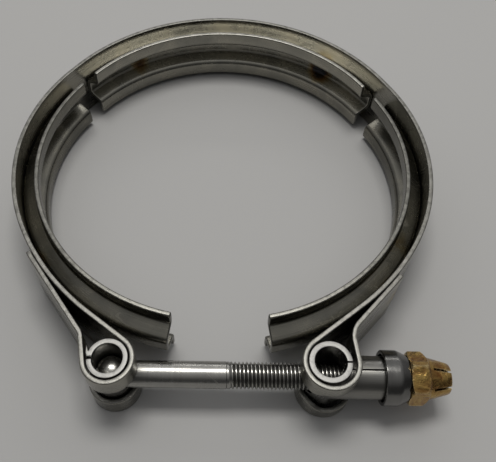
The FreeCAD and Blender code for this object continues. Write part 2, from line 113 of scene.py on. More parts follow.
@dataclass(frozen=True)
class Stretch:
    """A straight or round stretch of a sheet's middle line."""

    start: Point2
    end: Point2
    centre: Optional[Point2] = None
    radius: float = 0.0
    first: float = 0.0
    last: float = 0.0

    @classmethod
    def arc(cls, centre: Point2, radius: float, first: float, last: float) -> "Stretch":
        """Return a round stretch about a centre, from one angle in degrees to another."""
        return cls(polar(centre, radius, first), polar(centre, radius, last), centre, radius, first, last)

    @property
    def length(self) -> float:
        """Work out the length along the stretch.

        Returns:
            The length.
        """
        if self.centre is None:
            return math.dist(self.start, self.end)
        return abs(math.radians(self.last - self.first)) * self.radius

    def at(self, share: float) -> Point2:
        """Return the point at a share of the length from the start.

        Args:
            share: From 0 at the start to 1 at the end; the line may be run past either end.

        Returns:
            The point.
        """
        if self.centre is None:
            run = self.end[0] - self.start[0], self.end[1] - self.start[1]
            return self.start[0] + run[0] * share, self.start[1] + run[1] * share
        return polar(self.centre, self.radius, self.first + (self.last - self.first) * share)

    def mirrored(self) -> "Stretch":
        """Mirror the stretch in the plane x = 0.

        Returns:
            The mirrored stretch.
        """
        if self.centre is None:
            return Stretch((-self.start[0], self.start[1]), (-self.end[0], self.end[1]))
        centre = -self.centre[0], self.centre[1]
        return Stretch.arc(centre, self.radius, 180 - self.first, 180 - self.last)

    def turned(self) -> "Stretch":
        """Run the stretch backwards.

        Returns:
            The turned stretch.
        """
        if self.centre is None:
            return Stretch(self.end, self.start)
        return Stretch.arc(self.centre, self.radius, self.last, self.first)


class MiddleLine:
    """A chain of stretches that a sheet follows."""

    def __init__(self, stretches: Sequence[Stretch]) -> None:
        """Keep the stretches and the length at which each one starts.

        Args:
            stretches: The stretches in order, each starting where the last one ends.
        """
        self.stretches = [stretch for stretch in stretches if stretch.length > SAME_POINT]
        self.starts = [0.0]
        for stretch in self.stretches:
            self.starts.append(self.starts[-1] + stretch.length)

    @property
    def length(self) -> float:
        """Return the whole length."""
        return self.starts[-1]

    def at(self, run: float) -> Point2:
        """Return the point at a length from the start.

        Args:
            run: Length along the line.

        Returns:
            The point.
        """
        for stretch, start in zip(self.stretches, self.starts):
            if run <= start + stretch.length or stretch is self.stretches[-1]:
                return stretch.at((run - start) / stretch.length)
        raise ValueError("the line is empty")

    def stations(self, turn: float, step: float) -> list[float]:
        """Return lengths along the line that are close where it bends.

        Args:
            turn: Largest turn between two stations, in degrees.
            step: Largest distance between two stations.

        Returns:
            The lengths, from 0 to the whole length.
        """
        found = [0.0]
        for stretch, start in zip(self.stretches, self.starts):
            count = math.ceil(stretch.length / step)
            if stretch.centre is not None:
                count = max(count, math.ceil(abs(stretch.last - stretch.first) / turn))
            found += [start + stretch.length * (index + 1) / count for index in range(count)]
        return found


def rounded_line(points: Sequence[tuple[float, float, float]]) -> list[Stretch]:
    """Return stretches through open corner points, each corner bent to a radius.

    Args:
        points: (x, y, bend radius) of each corner, the first and last with radius 0.

    Returns:
        The stretches.
    """
    corners = [(Vector((x, y)), radius) for x, y, radius in points]
    joints: list[tuple[Vector, Vector, Optional[Stretch]]] = []
    for index, (corner, radius) in enumerate(corners):
        if radius == 0:
            joints.append((corner, corner, None))
            continue
        before = (corners[index - 1][0] - corner).normalized()
        after = (corners[index + 1][0] - corner).normalized()
        half = before.angle(after) / 2
        centre = corner + (before + after).normalized() * (radius / math.sin(half))
        start = corner + before * (radius / math.tan(half))
        end = corner + after * (radius / math.tan(half))
        first = math.degrees(math.atan2(start.y - centre.y, start.x - centre.x))
        last = math.degrees(math.atan2(end.y - centre.y, end.x - centre.x))
        sweep = (last - first + 180) % 360 - 180
        joints.append((start, end, Stretch.arc(tuple(centre), radius, first, first + sweep)))
    found: list[Stretch] = []
    for here, there in zip(joints, joints[1:]):
        found.append(Stretch(tuple(here[1]), tuple(there[0])))
        if there[2]:
            found.append(there[2])
    return found


def smooth_step(value: float) -> float:
    """Return an even rise from 0 to 1 as the value goes from 0 to 1."""
    value = min(1.0, max(0.0, value))
    return value * value * (3 - 2 * value)


# ---------------------------------------------------------------- mesh making
@dataclass(frozen=True)
class EdgeBreak:
    """How sharp edges of a piece are rounded."""

    width: float
    segments: int
    angle: float


def new_object(name: str, data: bpy.types.ID) -> bpy.types.Object:
    """Add an object to the scene.

    Args:
        name: Name of the object.
        data: Its mesh, lamp or camera.

    Returns:
        The object.
    """
    made = bpy.data.objects.new(name, data)
    bpy.context.scene.collection.objects.link(made)
    return made


def mesh_from(
    name: str,
    points: Iterable[Vector],
    faces: Iterable[Sequence[int]],
    layout: Optional[Sequence[Point2]] = None,
) -> bpy.types.Mesh:
    """Return a mesh with an optional flat layout of its surface.

    Args:
        name: Name of the mesh.
        points: Corner points in millimetres.
        faces: Corner numbers of each face.
        layout: Each corner's place on the unrolled sheet, in millimetres.

    Returns:
        The mesh, in metres.
    """
    points = list(points)
    faces = [list(face) for face in faces]
    used = sorted({corner for face in faces for corner in face})
    number = {corner: index for index, corner in enumerate(used)}
    mesh = bpy.data.meshes.new(name)
    mesh.from_pydata([tuple(Vector(points[corner]) * MM) for corner in used], [],
                     [[number[corner] for corner in face] for face in faces])
    # Empty slots for the sheet and its cut edge, so that no modifier drops the second one.
    mesh.materials.append(None)
    mesh.materials.append(None)
    if layout is not None:
        unrolled = mesh.uv_layers.new(name="Unrolled")
        for loop in mesh.loops:
            along, across = layout[used[loop.vertex_index]]
            unrolled.data[loop.index].uv = along * MM, across * MM
    mesh.update()
    return mesh


def mend(
    mesh: bpy.types.Mesh, weld: float = 0.0, slivers: bool = False, fill: bool = False
) -> bpy.types.Mesh:
    """Close up a mesh and turn its faces outwards.

    Args:
        mesh: The mesh.
        weld: Distance in millimetres within which points become one, or 0 to keep them apart.
        slivers: Whether faces thinner than that go too.
        fill: Whether holes are filled.

    Returns:
        The same mesh.
    """
    shape = bmesh.new()
    shape.from_mesh(mesh)
    if weld:
        bmesh.ops.remove_doubles(shape, verts=shape.verts, dist=weld * MM)
    if slivers:
        bmesh.ops.dissolve_degenerate(shape, edges=shape.edges, dist=weld * MM)
    if fill:
        bmesh.ops.holes_fill(shape, edges=[edge for edge in shape.edges if edge.is_boundary])
    bmesh.ops.recalc_face_normals(shape, faces=shape.faces)
    shape.to_mesh(mesh)
    shape.free()
    return mesh


def settle(piece: bpy.types.Object) -> bpy.types.Object:
    """Turn a piece's modifiers into its own mesh.

    Args:
        piece: The object.

    Returns:
        The same object, with no modifiers.
    """
    graph = bpy.context.evaluated_depsgraph_get()
    made = bpy.data.meshes.new_from_object(piece.evaluated_get(graph), depsgraph=graph)
    piece.modifiers.clear()
    piece.data = made
    return piece


def add_wall(piece: bpy.types.Object, wall: float) -> bpy.types.Object:
    """Give a middle surface its wall, with the cut edges on the second material.

    Args:
        piece: Object whose mesh is the sheet's middle surface.
        wall: Thickness in millimetres.

    Returns:
        The same object.
    """
    solid = piece.modifiers.new("wall", "SOLIDIFY")
    solid.thickness = wall * MM
    solid.offset = 0.0
    solid.use_even_offset = True
    solid.material_offset_rim = 1
    return settle(piece)


def combine(piece: bpy.types.Object, tool: bpy.types.Object, join: Join) -> bpy.types.Object:
    """Add a tool's shape to a piece or take it away, and remove the tool.

    Args:
        piece: The object that is kept.
        tool: The object that is used up.
        join: What the tool does.

    Returns:
        The kept object.
    """
    change = piece.modifiers.new("combine", "BOOLEAN")
    change.operation = join.value
    change.solver = "EXACT"
    change.object = tool
    bpy.context.view_layer.update()
    settle(piece)
    bpy.data.objects.remove(tool)
    return piece


def finish_edges(
    piece: bpy.types.Object, edge: Optional[EdgeBreak] = None, smooth: float = 35.0
) -> bpy.types.Object:
    """Round a piece's sharp edges and smooth its faces.

    Args:
        piece: The object.
        edge: How its edges are rounded, if they are.
        smooth: Angle in degrees above which an edge still shows as a crease.

    Returns:
        The same object.
    """
    if edge:
        bevel = piece.modifiers.new("edges", "BEVEL")
        bevel.width = edge.width * MM
        bevel.segments = edge.segments
        bevel.limit_method = "ANGLE"
        bevel.angle_limit = math.radians(edge.angle)
        bevel.use_clamp_overlap = False
        bevel.miter_outer = "MITER_ARC"
        settle(piece)
    piece.data.shade_smooth()
    piece.data.set_sharp_from_angle(angle=math.radians(smooth))
    weighted = piece.modifiers.new("normals", "WEIGHTED_NORMAL")
    weighted.keep_sharp = True
    return settle(piece)


def grid_faces(
    rows: int, columns: int, closed: bool = False, open_cell: Optional[Callable[[int, int], bool]] = None
) -> list[list[int]]:
    """Return the quads of a grid of points that is stored row by row.

    Args:
        rows: Number of rows of points.
        columns: Number of points in a row.
        closed: Whether the last row joins the first one.
        open_cell: Tells whether the cell after a row and a column is left out, if any is.

    Returns:
        Corner numbers of each quad.
    """
    found = []
    for row in range(rows if closed else rows - 1):
        after = (row + 1) % rows
        for column in range(columns - 1):
            if open_cell is None or not open_cell(row, column):
                found.append([row * columns + column, row * columns + column + 1,
                              after * columns + column + 1, after * columns + column])
    return found


def sheet(
    name: str, rows: Sequence[Sequence[tuple[Vector, Point2]]], wall: float,
    open_cell: Optional[Callable[[int, int], bool]] = None,
) -> bpy.types.Object:
    """Build a sheet from rows of points on its middle surface.

    Args:
        name: Name of the object.
        rows: Each point and its place on the unrolled sheet, row by row.
        wall: Thickness in millimetres.
        open_cell: Tells whether the cell after a row and a column is left out, if any is.

    Returns:
        The object.
    """
    points = [point for row in rows for point, _ in row]
    layout = [place for row in rows for _, place in row]
    faces = grid_faces(len(rows), len(rows[0]), open_cell=open_cell)
    return add_wall(new_object(name, mesh_from(name, points, faces, layout)), wall)


def lathe(name: str, profile: Sequence[Point2], centre: Vector, axis: Matrix, steps: int) -> bpy.types.Object:
    """Turn a profile about an axis into a closed piece.

    Args:
        name: Name of the object.
        profile: (along, radius) points; ends with radius 0 are closed on the axis.
        centre: A point of the axis, in millimetres.
        axis: Turns +X to the axis.
        steps: Number of steps round.

    Returns:
        The object.
    """
    least_layout = 0.5
    runs = list(accumulate((math.dist(*pair) for pair in zip(profile, profile[1:])), initial=0.0))
    points, layout = [], []
    for step in range(steps):
        angle = 2 * math.pi * step / steps
        for run, (along, radius) in zip(runs, profile):
            points.append(centre + axis @ Vector((along, radius * math.cos(angle), radius * math.sin(angle))))
            layout.append((run, angle * max(radius, least_layout)))
    mesh = mesh_from(name, points, grid_faces(steps, len(profile), closed=True), layout)
    return new_object(name, mend(mesh, SAME_POINT, fill=profile[0] != profile[-1]))


def prism(name: str, outline: Sequence[Vector], push: Vector) -> bpy.types.Object:
    """Push a flat outline along a vector into a solid.

    Args:
        name: Name of the object.
        outline: Corner points of the first face, in millimetres.
        push: The way to the last face, in millimetres.

    Returns:
        The object.
    """
    count = len(outline)
    points = [*outline, *(point + push for point in outline)]
    faces: list[list[int]] = [list(range(count)), list(range(2 * count - 1, count - 1, -1))]
    pairs = [(index, (index + 1) % count) for index in range(count)]
    faces += [[here, here + count, after + count, after] for here, after in pairs]
    return new_object(name, mend(mesh_from(name, points, faces)))


# ---------------------------------------------------------------- finishes
Socket = bpy.types.NodeSocket
Colour = tuple[float, float, float]

WORN_STEEL: Colour = (0.78, 0.76, 0.70)
# Colour that hollows are darkened to: partly dirt, partly painted shade where little light gets in.
GRIME_AND_SHADE: Colour = (0.045, 0.045, 0.042)
BRASS_SPECK: Colour = (0.16, 0.07, 0.03)
# Blender's Pointiness is about this on a flat face, more on a ridge and less in a hollow.
FLAT_POINTINESS = 0.5


class Mixing(Enum):
    """How one colour goes over another."""

    OVER = "MIX"
    TINT = "MULTIPLY"


class Kind(Enum):
    """Kinds of socket on a node group."""

    VALUE = "NodeSocketFloat"
    PLACE = "NodeSocketVector"
    COLOUR = "NodeSocketColor"


class Tree:
    """A node tree with short calls for adding and joining nodes."""

    def __init__(self, tree: bpy.types.NodeTree) -> None:
        """Keep the material's, the group's or the world's node tree."""
        self.tree = tree

    def node(self, kind: str, feeds: Optional[dict] = None, **settings: object) -> bpy.types.Node:
        """Add a node.

        Args:
            kind: Blender's name of the node type.
            feeds: A value or another node's socket for each named or numbered input.
            **settings: Properties of the node itself.

        Returns:
            The node.
        """
        made = self.tree.nodes.new(kind)
        for key, value in settings.items():
            setattr(made, key, value)
        for key, value in (feeds or {}).items():
            if isinstance(value, Socket):
                self.tree.links.new(value, made.inputs[key])
            else:
                made.inputs[key].default_value = value
        return made

    def math(self, operation: str, *values: object, clamp: bool = False) -> Socket:
        """Return the result of a Math node that takes numbers or sockets."""
        feeds = dict(enumerate(values))
        return self.node("ShaderNodeMath", feeds, operation=operation, use_clamp=clamp).outputs[0]

    def total(self, base: object, *parts: tuple[Socket, float], clamp: bool = False) -> Socket:
        """Add weighted values to a first one.

        Args:
            base: A number or a socket.
            *parts: Each value's socket and its weight.
            clamp: Whether the sum is kept from 0 to 1.

        Returns:
            The sum's socket.
        """
        for value, weight in parts:
            base = self.math("ADD", base, self.math("MULTIPLY", value, weight), clamp=clamp)
        return base

    def blend(self, share: object, first: object, second: object, mixing: Mixing = Mixing.OVER) -> Socket:
        """Put a second colour over a first one.

        Args:
            share: How much of the second shows, from 0 to 1.
            first: The first colour or its socket.
            second: The second colour or its socket.
            mixing: How they mix.

        Returns:
            The mixed colour's socket.
        """
        first, second = ((*side, 1.0) if isinstance(side, tuple) else side for side in (first, second))
        feeds = {0: share, 6: first, 7: second}
        return self.node("ShaderNodeMix", feeds, data_type="RGBA", blend_type=mixing.value).outputs[2]

    def ramp(self, value: Socket, *stops: tuple[float, object]) -> Socket:
        """Map a value through levels or colours.

        Args:
            value: The value's socket.
            *stops: (place, level or colour) pairs in order, two or more.

        Returns:
            The result's socket.
        """
        made = self.node("ShaderNodeValToRGB", {0: value})
        elements = made.color_ramp.elements
        for index, (place, shade) in enumerate(stops):
            stop = elements[index] if index < 2 else elements.new(place)
            stop.position = place
            stop.color = (*(shade if isinstance(shade, tuple) else (shade,) * 3), 1.0)
        return made.outputs[0]

    def noise(
        self, place: Socket, size: object, detail: float, rough: float = 0.5, bent: float = 0.0
    ) -> Socket:
        """Add a noise.

        Args:
            place: Where it is looked up.
            size: Its scale, a number or a socket.
            detail: Number of finer layers.
            rough: How much the finer layers show.
            bent: How far it is distorted.

        Returns:
            The noise's socket.
        """
        feeds = {"Vector": place, "Scale": size, "Detail": detail, "Roughness": rough, "Distortion": bent}
        return self.node("ShaderNodeTexNoise", feeds).outputs["Fac"]

    def scaled(self, place: Socket, factors: tuple[float, float, float]) -> Socket:
        """Return a place with each axis multiplied by its factor."""
        return self.node("ShaderNodeVectorMath", {0: place, 1: factors}, operation="MULTIPLY").outputs[0]

    def effect(self, group: bpy.types.NodeTree, **feeds: object) -> bpy.types.NodeOutputs:
        """Place a shared effect with its own values and return its outputs."""
        return self.node("ShaderNodeGroup", feeds, node_tree=group).outputs


class Group(Tree):
    """A shader node group with named inputs and outputs."""

    def __init__(self, name: str, feeds: dict[str, tuple[Kind, object]], gives: dict[str, Kind]) -> None:
        """Start the group.

        Args:
            name: Name of the group.
            feeds: Kind and first value of each input, None where it is always fed.
            gives: Kind of each output.
        """
        super().__init__(bpy.data.node_groups.new(name, "ShaderNodeTree"))
        for key, (kind, value) in feeds.items():
            socket = self.tree.interface.new_socket(name=key, in_out="INPUT", socket_type=kind.value)
            if value is not None:
                socket.default_value = value
        for key, kind in gives.items():
            self.tree.interface.new_socket(name=key, in_out="OUTPUT", socket_type=kind.value)
        self.feeds = self.node("NodeGroupInput").outputs
        self._gives = self.node("NodeGroupOutput").inputs

    def give(self, **results: Socket) -> bpy.types.NodeTree:
        """Feed the outputs.

        Args:
            **results: Socket that feeds each named output.

        Returns:
            The finished group.
        """
        for key, value in results.items():
            self.tree.links.new(value, self._gives[key])
        return self.tree


@lru_cache(maxsize=None)
def drawn_grain() -> bpy.types.NodeTree:
    """Build the effect of fine lines that run one way along a sheet or round a turned part.

    Returns:
        The group.
    """
    group = Group(
        "Drawn grain",
        {"Place": (Kind.PLACE, None), "Lines": (Kind.VALUE, 2500.0), "Stretch": (Kind.VALUE, 60.0)},
        {"Streak": Kind.VALUE, "Broad": Kind.VALUE},
    )
    apart = group.node("ShaderNodeSeparateXYZ", {0: group.feeds["Place"]}).outputs
    across = group.math("MULTIPLY", apart[1], group.feeds["Lines"])
    along = group.math("MULTIPLY", apart[0], group.feeds["Lines"])
    along = group.math("DIVIDE", along, group.feeds["Stretch"])
    fine = group.node("ShaderNodeCombineXYZ", {0: along, 1: across}).outputs[0]
    wide = group.scaled(fine, (0.35, 0.16, 1.0))
    return group.give(Streak=group.noise(fine, 1.0, 4.0, 0.62), Broad=group.noise(wide, 1.0, 2.0))


@lru_cache(maxsize=None)
def smudges() -> bpy.types.NodeTree:
    """Build the effect of soft handling marks and uneven colour.

    Returns:
        The group.
    """
    group = Group(
        "Smudges",
        {"Place": (Kind.PLACE, None), "Size": (Kind.VALUE, 90.0)},
        {"Soft": Kind.VALUE, "Speck": Kind.VALUE},
    )
    soft = group.noise(group.feeds["Place"], group.feeds["Size"], 5.0, 0.55, 0.8)
    dense = group.math("MULTIPLY", group.feeds["Size"], 14.0)
    speck = group.noise(group.feeds["Place"], dense, 3.0, 0.6)
    return group.give(
        Soft=group.ramp(soft, (0.3, 0.0), (0.7, 1.0)),
        Speck=group.ramp(speck, (0.58, 0.0), (0.72, 1.0)),
    )


@lru_cache(maxsize=None)
def scratches() -> bpy.types.NodeTree:
    """Build the effect of sparse fine scratches.

    Returns:
        The group.
    """
    group = Group(
        "Scratches",
        {"Place": (Kind.PLACE, None), "Size": (Kind.VALUE, 300.0), "Width": (Kind.VALUE, 0.012)},
        {"Mask": Kind.VALUE},
    )
    slant = {"Vector": group.feeds["Place"], "Axis": (0.3, 0.5, 0.8), "Angle": 0.7}
    pulled = group.scaled(group.node("ShaderNodeVectorRotate", slant).outputs[0], (0.12, 1.0, 0.6))
    lines = group.noise(pulled, group.feeds["Size"], 1.0, bent=0.3)
    off = group.math("ABSOLUTE", group.math("SUBTRACT", lines, 0.5))
    thin = group.math("LESS_THAN", off, group.feeds["Width"])
    patch = group.ramp(group.noise(group.feeds["Place"], 170.0, 2.0), (0.5, 0.0), (0.62, 1.0))
    return group.give(Mask=group.math("MULTIPLY", thin, patch))


@lru_cache(maxsize=None)
def edge_wear() -> bpy.types.NodeTree:
    """Build the effect that finds rubbed, rounded edges.

    Returns:
        The group.
    """
    group = Group(
        "Edge wear",
        {"Place": (Kind.PLACE, None), "Reach": (Kind.VALUE, 0.08)},
        {"Mask": Kind.VALUE},
    )
    sharp = group.node("ShaderNodeNewGeometry").outputs["Pointiness"]
    above = group.math("SUBTRACT", sharp, FLAT_POINTINESS + 0.02)
    above = group.math("DIVIDE", above, group.feeds["Reach"], clamp=True)
    broken = group.ramp(group.noise(group.feeds["Place"], 420.0, 3.0), (0.3, 0.35), (0.6, 1.0))
    return group.give(Mask=group.math("MULTIPLY", above, broken))


@lru_cache(maxsize=None)
def hollows() -> bpy.types.NodeTree:
    """Build the effect that finds thread roots and other tight hollows, which are darkened partly for dirt
    and partly as painted shade.

    Returns:
        The group.
    """
    group = Group("Hollows", {"Reach": (Kind.VALUE, 0.03)}, {"Mask": Kind.VALUE})
    sharp = group.node("ShaderNodeNewGeometry").outputs["Pointiness"]
    below = group.math("SUBTRACT", FLAT_POINTINESS, sharp)
    return group.give(Mask=group.math("DIVIDE", below, group.feeds["Reach"], clamp=True))


@lru_cache(maxsize=None)
def heat_tint() -> bpy.types.NodeTree:
    """Build the effect of the temper colours round a weld.

    Returns:
        The group.
    """
    group = Group(
        "Heat tint",
        {
            "Colour": (Kind.COLOUR, (0.5, 0.5, 0.5, 1.0)),
            "Place": (Kind.PLACE, None),
            "Centre": (Kind.PLACE, (0.0, 0.0, 0.0)),
            "Size": (Kind.VALUE, 0.004),
            "Heat": (Kind.VALUE, 1.0),
        },
        {"Colour": Kind.COLOUR, "Mask": Kind.VALUE},
    )
    feeds = group.feeds
    away = group.node("ShaderNodeVectorMath", {0: feeds["Place"], 1: feeds["Centre"]}, operation="DISTANCE")
    share = group.math("DIVIDE", away.outputs["Value"], feeds["Size"])
    ragged = group.math("SUBTRACT", group.noise(feeds["Place"], 420.0, 4.0, 0.65), 0.5)
    cool = group.math("MULTIPLY", group.math("SUBTRACT", 1.0, feeds["Heat"]), 0.7)
    level = group.math("ADD", group.total(share, (ragged, 0.7)), cool, clamp=True)
    tint = group.ramp(
        level,
        (0.0, (0.26, 0.28, 0.36)), (0.40, (0.17, 0.17, 0.22)), (0.54, (0.50, 0.31, 0.19)),
        (0.66, (0.78, 0.55, 0.33)), (0.8, (0.98, 0.87, 0.66)), (1.0, (1.0, 1.0, 1.0)),
    )
    mixed = group.blend(1.0, feeds["Colour"], tint, Mixing.TINT)
    return group.give(Colour=mixed, Mask=group.math("SUBTRACT", 1.0, level))


class Metal(Tree):
    """A bare metal's material, from its object coordinates to its shader."""

    def __init__(self, name: str, anisotropy: float = 0.0) -> None:
        """Start the material.

        Args:
            name: Name of the material.
            anisotropy: How far highlights are drawn out.
        """
        self.material = bpy.data.materials.new(name)
        self.material.use_nodes = True
        super().__init__(self.material.node_tree)
        self.shader = self.tree.nodes["Principled BSDF"].inputs
        self.shader["Metallic"].default_value = 1.0
        self.shader["Anisotropic"].default_value = anisotropy
        self.place = self.node("ShaderNodeTexCoord").outputs["Object"]

    def finished(
        self, colour: Socket, rough: Socket, height: Socket, depth: float, strength: float = 1.0
    ) -> bpy.types.Material:
        """Feed the shader.

        Args:
            colour: The base colour's socket.
            rough: The roughness's socket.
            height: The relief's socket.
            depth: How deep the relief is, in metres.
            strength: How much of it shows.

        Returns:
            The material.
        """
        bump = self.node("ShaderNodeBump", {"Height": height, "Distance": depth, "Strength": strength})
        for key, value in (("Base Color", colour), ("Roughness", rough), ("Normal", bump.outputs[0])):
            self.tree.links.new(value, self.shader[key])
        return self.material


@dataclass(frozen=True)
class HeatSpot:
    """Temper colours round one weld."""

    centre: tuple[float, float, float]
    size: float
    heat: float


class Layout(Enum):
    """Which way a finish's grain runs."""

    ALONG_SHEET = "along"
    ROUND_AXIS = "round"


@dataclass(frozen=True)
class SteelFinish:
    """Worn stainless steel with drawn grain, handling marks, scratches, weld tints, and hollows darkened
    partly by dirt and partly as painted shade.
    """

    name: str
    light: Colour
    dark: Colour
    roughness: float
    lines: float
    stretch: float
    grain: Layout = Layout.ALONG_SHEET
    grain_height: float = 0.000002
    wear: float = 0.2
    # How dark the hollows are painted: partly dirt, partly painted shade.
    grime_and_shade: float = 0.35
    warm: Colour = (1.0, 0.93, 0.80)
    warm_share: float = 0.35
    anisotropy: float = 0.35
    spots: tuple[HeatSpot, ...] = ()

    def build(self) -> bpy.types.Material:
        """Build the material.

        Returns:
            The material, with its shader fed by the shared effects.
        """
        metal = Metal(self.name, self.anisotropy)
        unrolled = metal.node("ShaderNodeUVMap", uv_map="Unrolled").outputs[0]
        if self.grain is Layout.ROUND_AXIS:
            apart = metal.node("ShaderNodeSeparateXYZ", {0: unrolled}).outputs
            unrolled = metal.node("ShaderNodeCombineXYZ", {0: apart[1], 1: apart[0]}).outputs[0]
        grain = metal.effect(drawn_grain(), Place=unrolled, Lines=self.lines, Stretch=self.stretch)
        streak, broad = grain["Streak"], grain["Broad"]
        soft = metal.effect(smudges(), Place=metal.place)["Soft"]
        scratch = metal.effect(scratches(), Place=metal.place)["Mask"]
        rubbed = metal.math("MULTIPLY", metal.effect(edge_wear(), Place=metal.place)["Mask"], self.wear)
        # Hollows darkened and roughened: partly dirt, partly painted shade.
        grime_and_shade = metal.math("MULTIPLY", metal.effect(hollows())["Mask"], self.grime_and_shade)

        tone = metal.total(0.0, (streak, 0.45), (broad, 0.55))
        tone = metal.total(0.0, (tone, 0.75), (soft, 0.25))
        colour = metal.blend(metal.ramp(tone, (0.3, 0.0), (0.7, 1.0)), self.dark, self.light)
        warm = metal.math("MULTIPLY", metal.ramp(soft, (0.2, 0.0), (0.9, 1.0)), self.warm_share)
        colour = metal.blend(warm, colour, self.warm, Mixing.TINT)
        colour = metal.blend(rubbed, colour, WORN_STEEL)
        colour = metal.blend(grime_and_shade, colour, GRIME_AND_SHADE)
        for spot in self.spots:
            centre = tuple(value * MM for value in spot.centre)
            colour = metal.effect(heat_tint(), Colour=colour, Place=metal.place, Centre=centre,
                                  Size=spot.size * MM, Heat=spot.heat)["Colour"]
        rough = metal.total(
            self.roughness - 0.08, (streak, 0.12), (soft, 0.07), (scratch, 0.12), (grime_and_shade, 0.25), clamp=True
        )
        height = metal.total(streak, (broad, 0.8), (scratch, -0.6))
        return metal.finished(colour, rough, height, self.grain_height)


@dataclass(frozen=True)
class CutEdgeFinish:
    """The rubbed cut edge of a steel sheet."""

    name: str
    light: Colour = (0.25, 0.245, 0.226)
    dark: Colour = (0.13, 0.127, 0.115)
    roughness: float = 0.42

    def build(self) -> bpy.types.Material:
        """Build the material.

        Returns:
            The material.
        """
        metal = Metal(self.name)
        soft = metal.effect(smudges(), Place=metal.place, Size=620.0)["Soft"]
        scratch = metal.effect(scratches(), Place=metal.place, Size=500.0)["Mask"]
        colour = metal.blend(soft, self.dark, self.light)
        rough = metal.total(self.roughness - 0.08, (soft, 0.16))
        return metal.finished(colour, rough, metal.total(0.0, (soft, 2.0), (scratch, -1.0)), 0.000012, 0.8)


@dataclass(frozen=True)
class BrassFinish:
    """Mottled golden brass with copper patches and rubbed edges."""

    name: str = "mottled_brass"
    gold: Colour = (0.58, 0.40, 0.13)
    copper: Colour = (0.24, 0.11, 0.035)
    bright: Colour = (0.90, 0.74, 0.42)
    roughness: float = 0.24

    def build(self) -> bpy.types.Material:
        """Build the material.

        Returns:
            The material.
        """
        metal = Metal(self.name)
        smudge = metal.effect(smudges(), Place=metal.place, Size=330.0)
        soft = smudge["Soft"]
        scratch = metal.effect(scratches(), Place=metal.place, Size=700.0, Width=0.02)["Mask"]
        rubbed = metal.effect(edge_wear(), Place=metal.place, Reach=0.06)["Mask"]
        colour = metal.blend(soft, self.copper, self.gold)
        colour = metal.blend(metal.math("MULTIPLY", smudge["Speck"], 0.6), colour, BRASS_SPECK)
        colour = metal.blend(metal.math("MULTIPLY", rubbed, 0.8), colour, self.bright)
        rough = metal.total(self.roughness - 0.06, (soft, 0.14), (scratch, 0.1))
        return metal.finished(colour, rough, metal.total(0.0, (soft, 2.0), (scratch, -1.0)), 0.00009)


# ---------------------------------------------------------------- the clamp's pieces
@dataclass(frozen=True)
class Ring:
    """Sizes of the ring that the strap and the retainers share."""

    outer: float = 56.1
    strap_wall: float = 1.2
    weld_gap: float = 0.05
    gap_angle: float = 32.6
    skew: float = 3.0
    gap_half: float = 1.45
    flat: float = 2.76
    front_angle: float = 78.4

    @property
    def strap_radius(self) -> float:
        """Return the radius of the strap's middle surface."""
        return self.outer - self.strap_wall / 2

    @property
    def retainer_radius(self) -> float:
        """Return the outer radius of the retainers."""
        return self.outer - self.strap_wall - self.weld_gap

    def gap(self, side: Side) -> float:
        """Return the angle in degrees from X up to the middle of a side's gap between two retainers."""
        return self.gap_angle - side.value * self.skew

    def centre(self, side: Side) -> Point2:
        """Return the arc centre of a side's half, as if it were on the +X side."""
        angle = math.radians(self.gap(side))
        return self.flat * math.sin(angle), -self.flat * math.cos(angle)


RING = Ring()
ALONG_X = Matrix.Identity(3)
UPRIGHT = Matrix.Rotation(-math.pi / 2, 3, "Y")


class Piece(ABC):
    """A separate piece of the clamp that stands for one CAD node."""

    name: ClassVar[str]
    node: ClassVar[str]
    body: ClassVar[str]
    slot: ClassVar[Slot]

    @abstractmethod
    def build(self) -> bpy.types.Object:
        """Build the piece's mesh and return its object."""

    @abstractmethod
    def finishes(self) -> list[bpy.types.Material]:
        """Return the materials in the order of the mesh's slots."""

    def place(self) -> bpy.types.Object:
        """Build, dress and attach the piece.

        Returns:
            The finished object.
        """
        piece = self.build()
        finishes = self.finishes()
        for number, material in enumerate(finishes):
            piece.data.materials[number] = material
        while len(piece.data.materials) > len(finishes):
            piece.data.materials.pop()
        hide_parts(self.node)
        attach(piece, self.body)
        LOG.info("%s stands for %s with %d faces", piece.name, self.node, len(piece.data.polygons))
        return piece


@dataclass(frozen=True)
class StrapEnd:
    """Bends of one end of the strap."""

    bow_angle: float
    bow_share: float
    clearance: float
    kink_bend: float
    leg_length: float
    lean: float
    contact: float


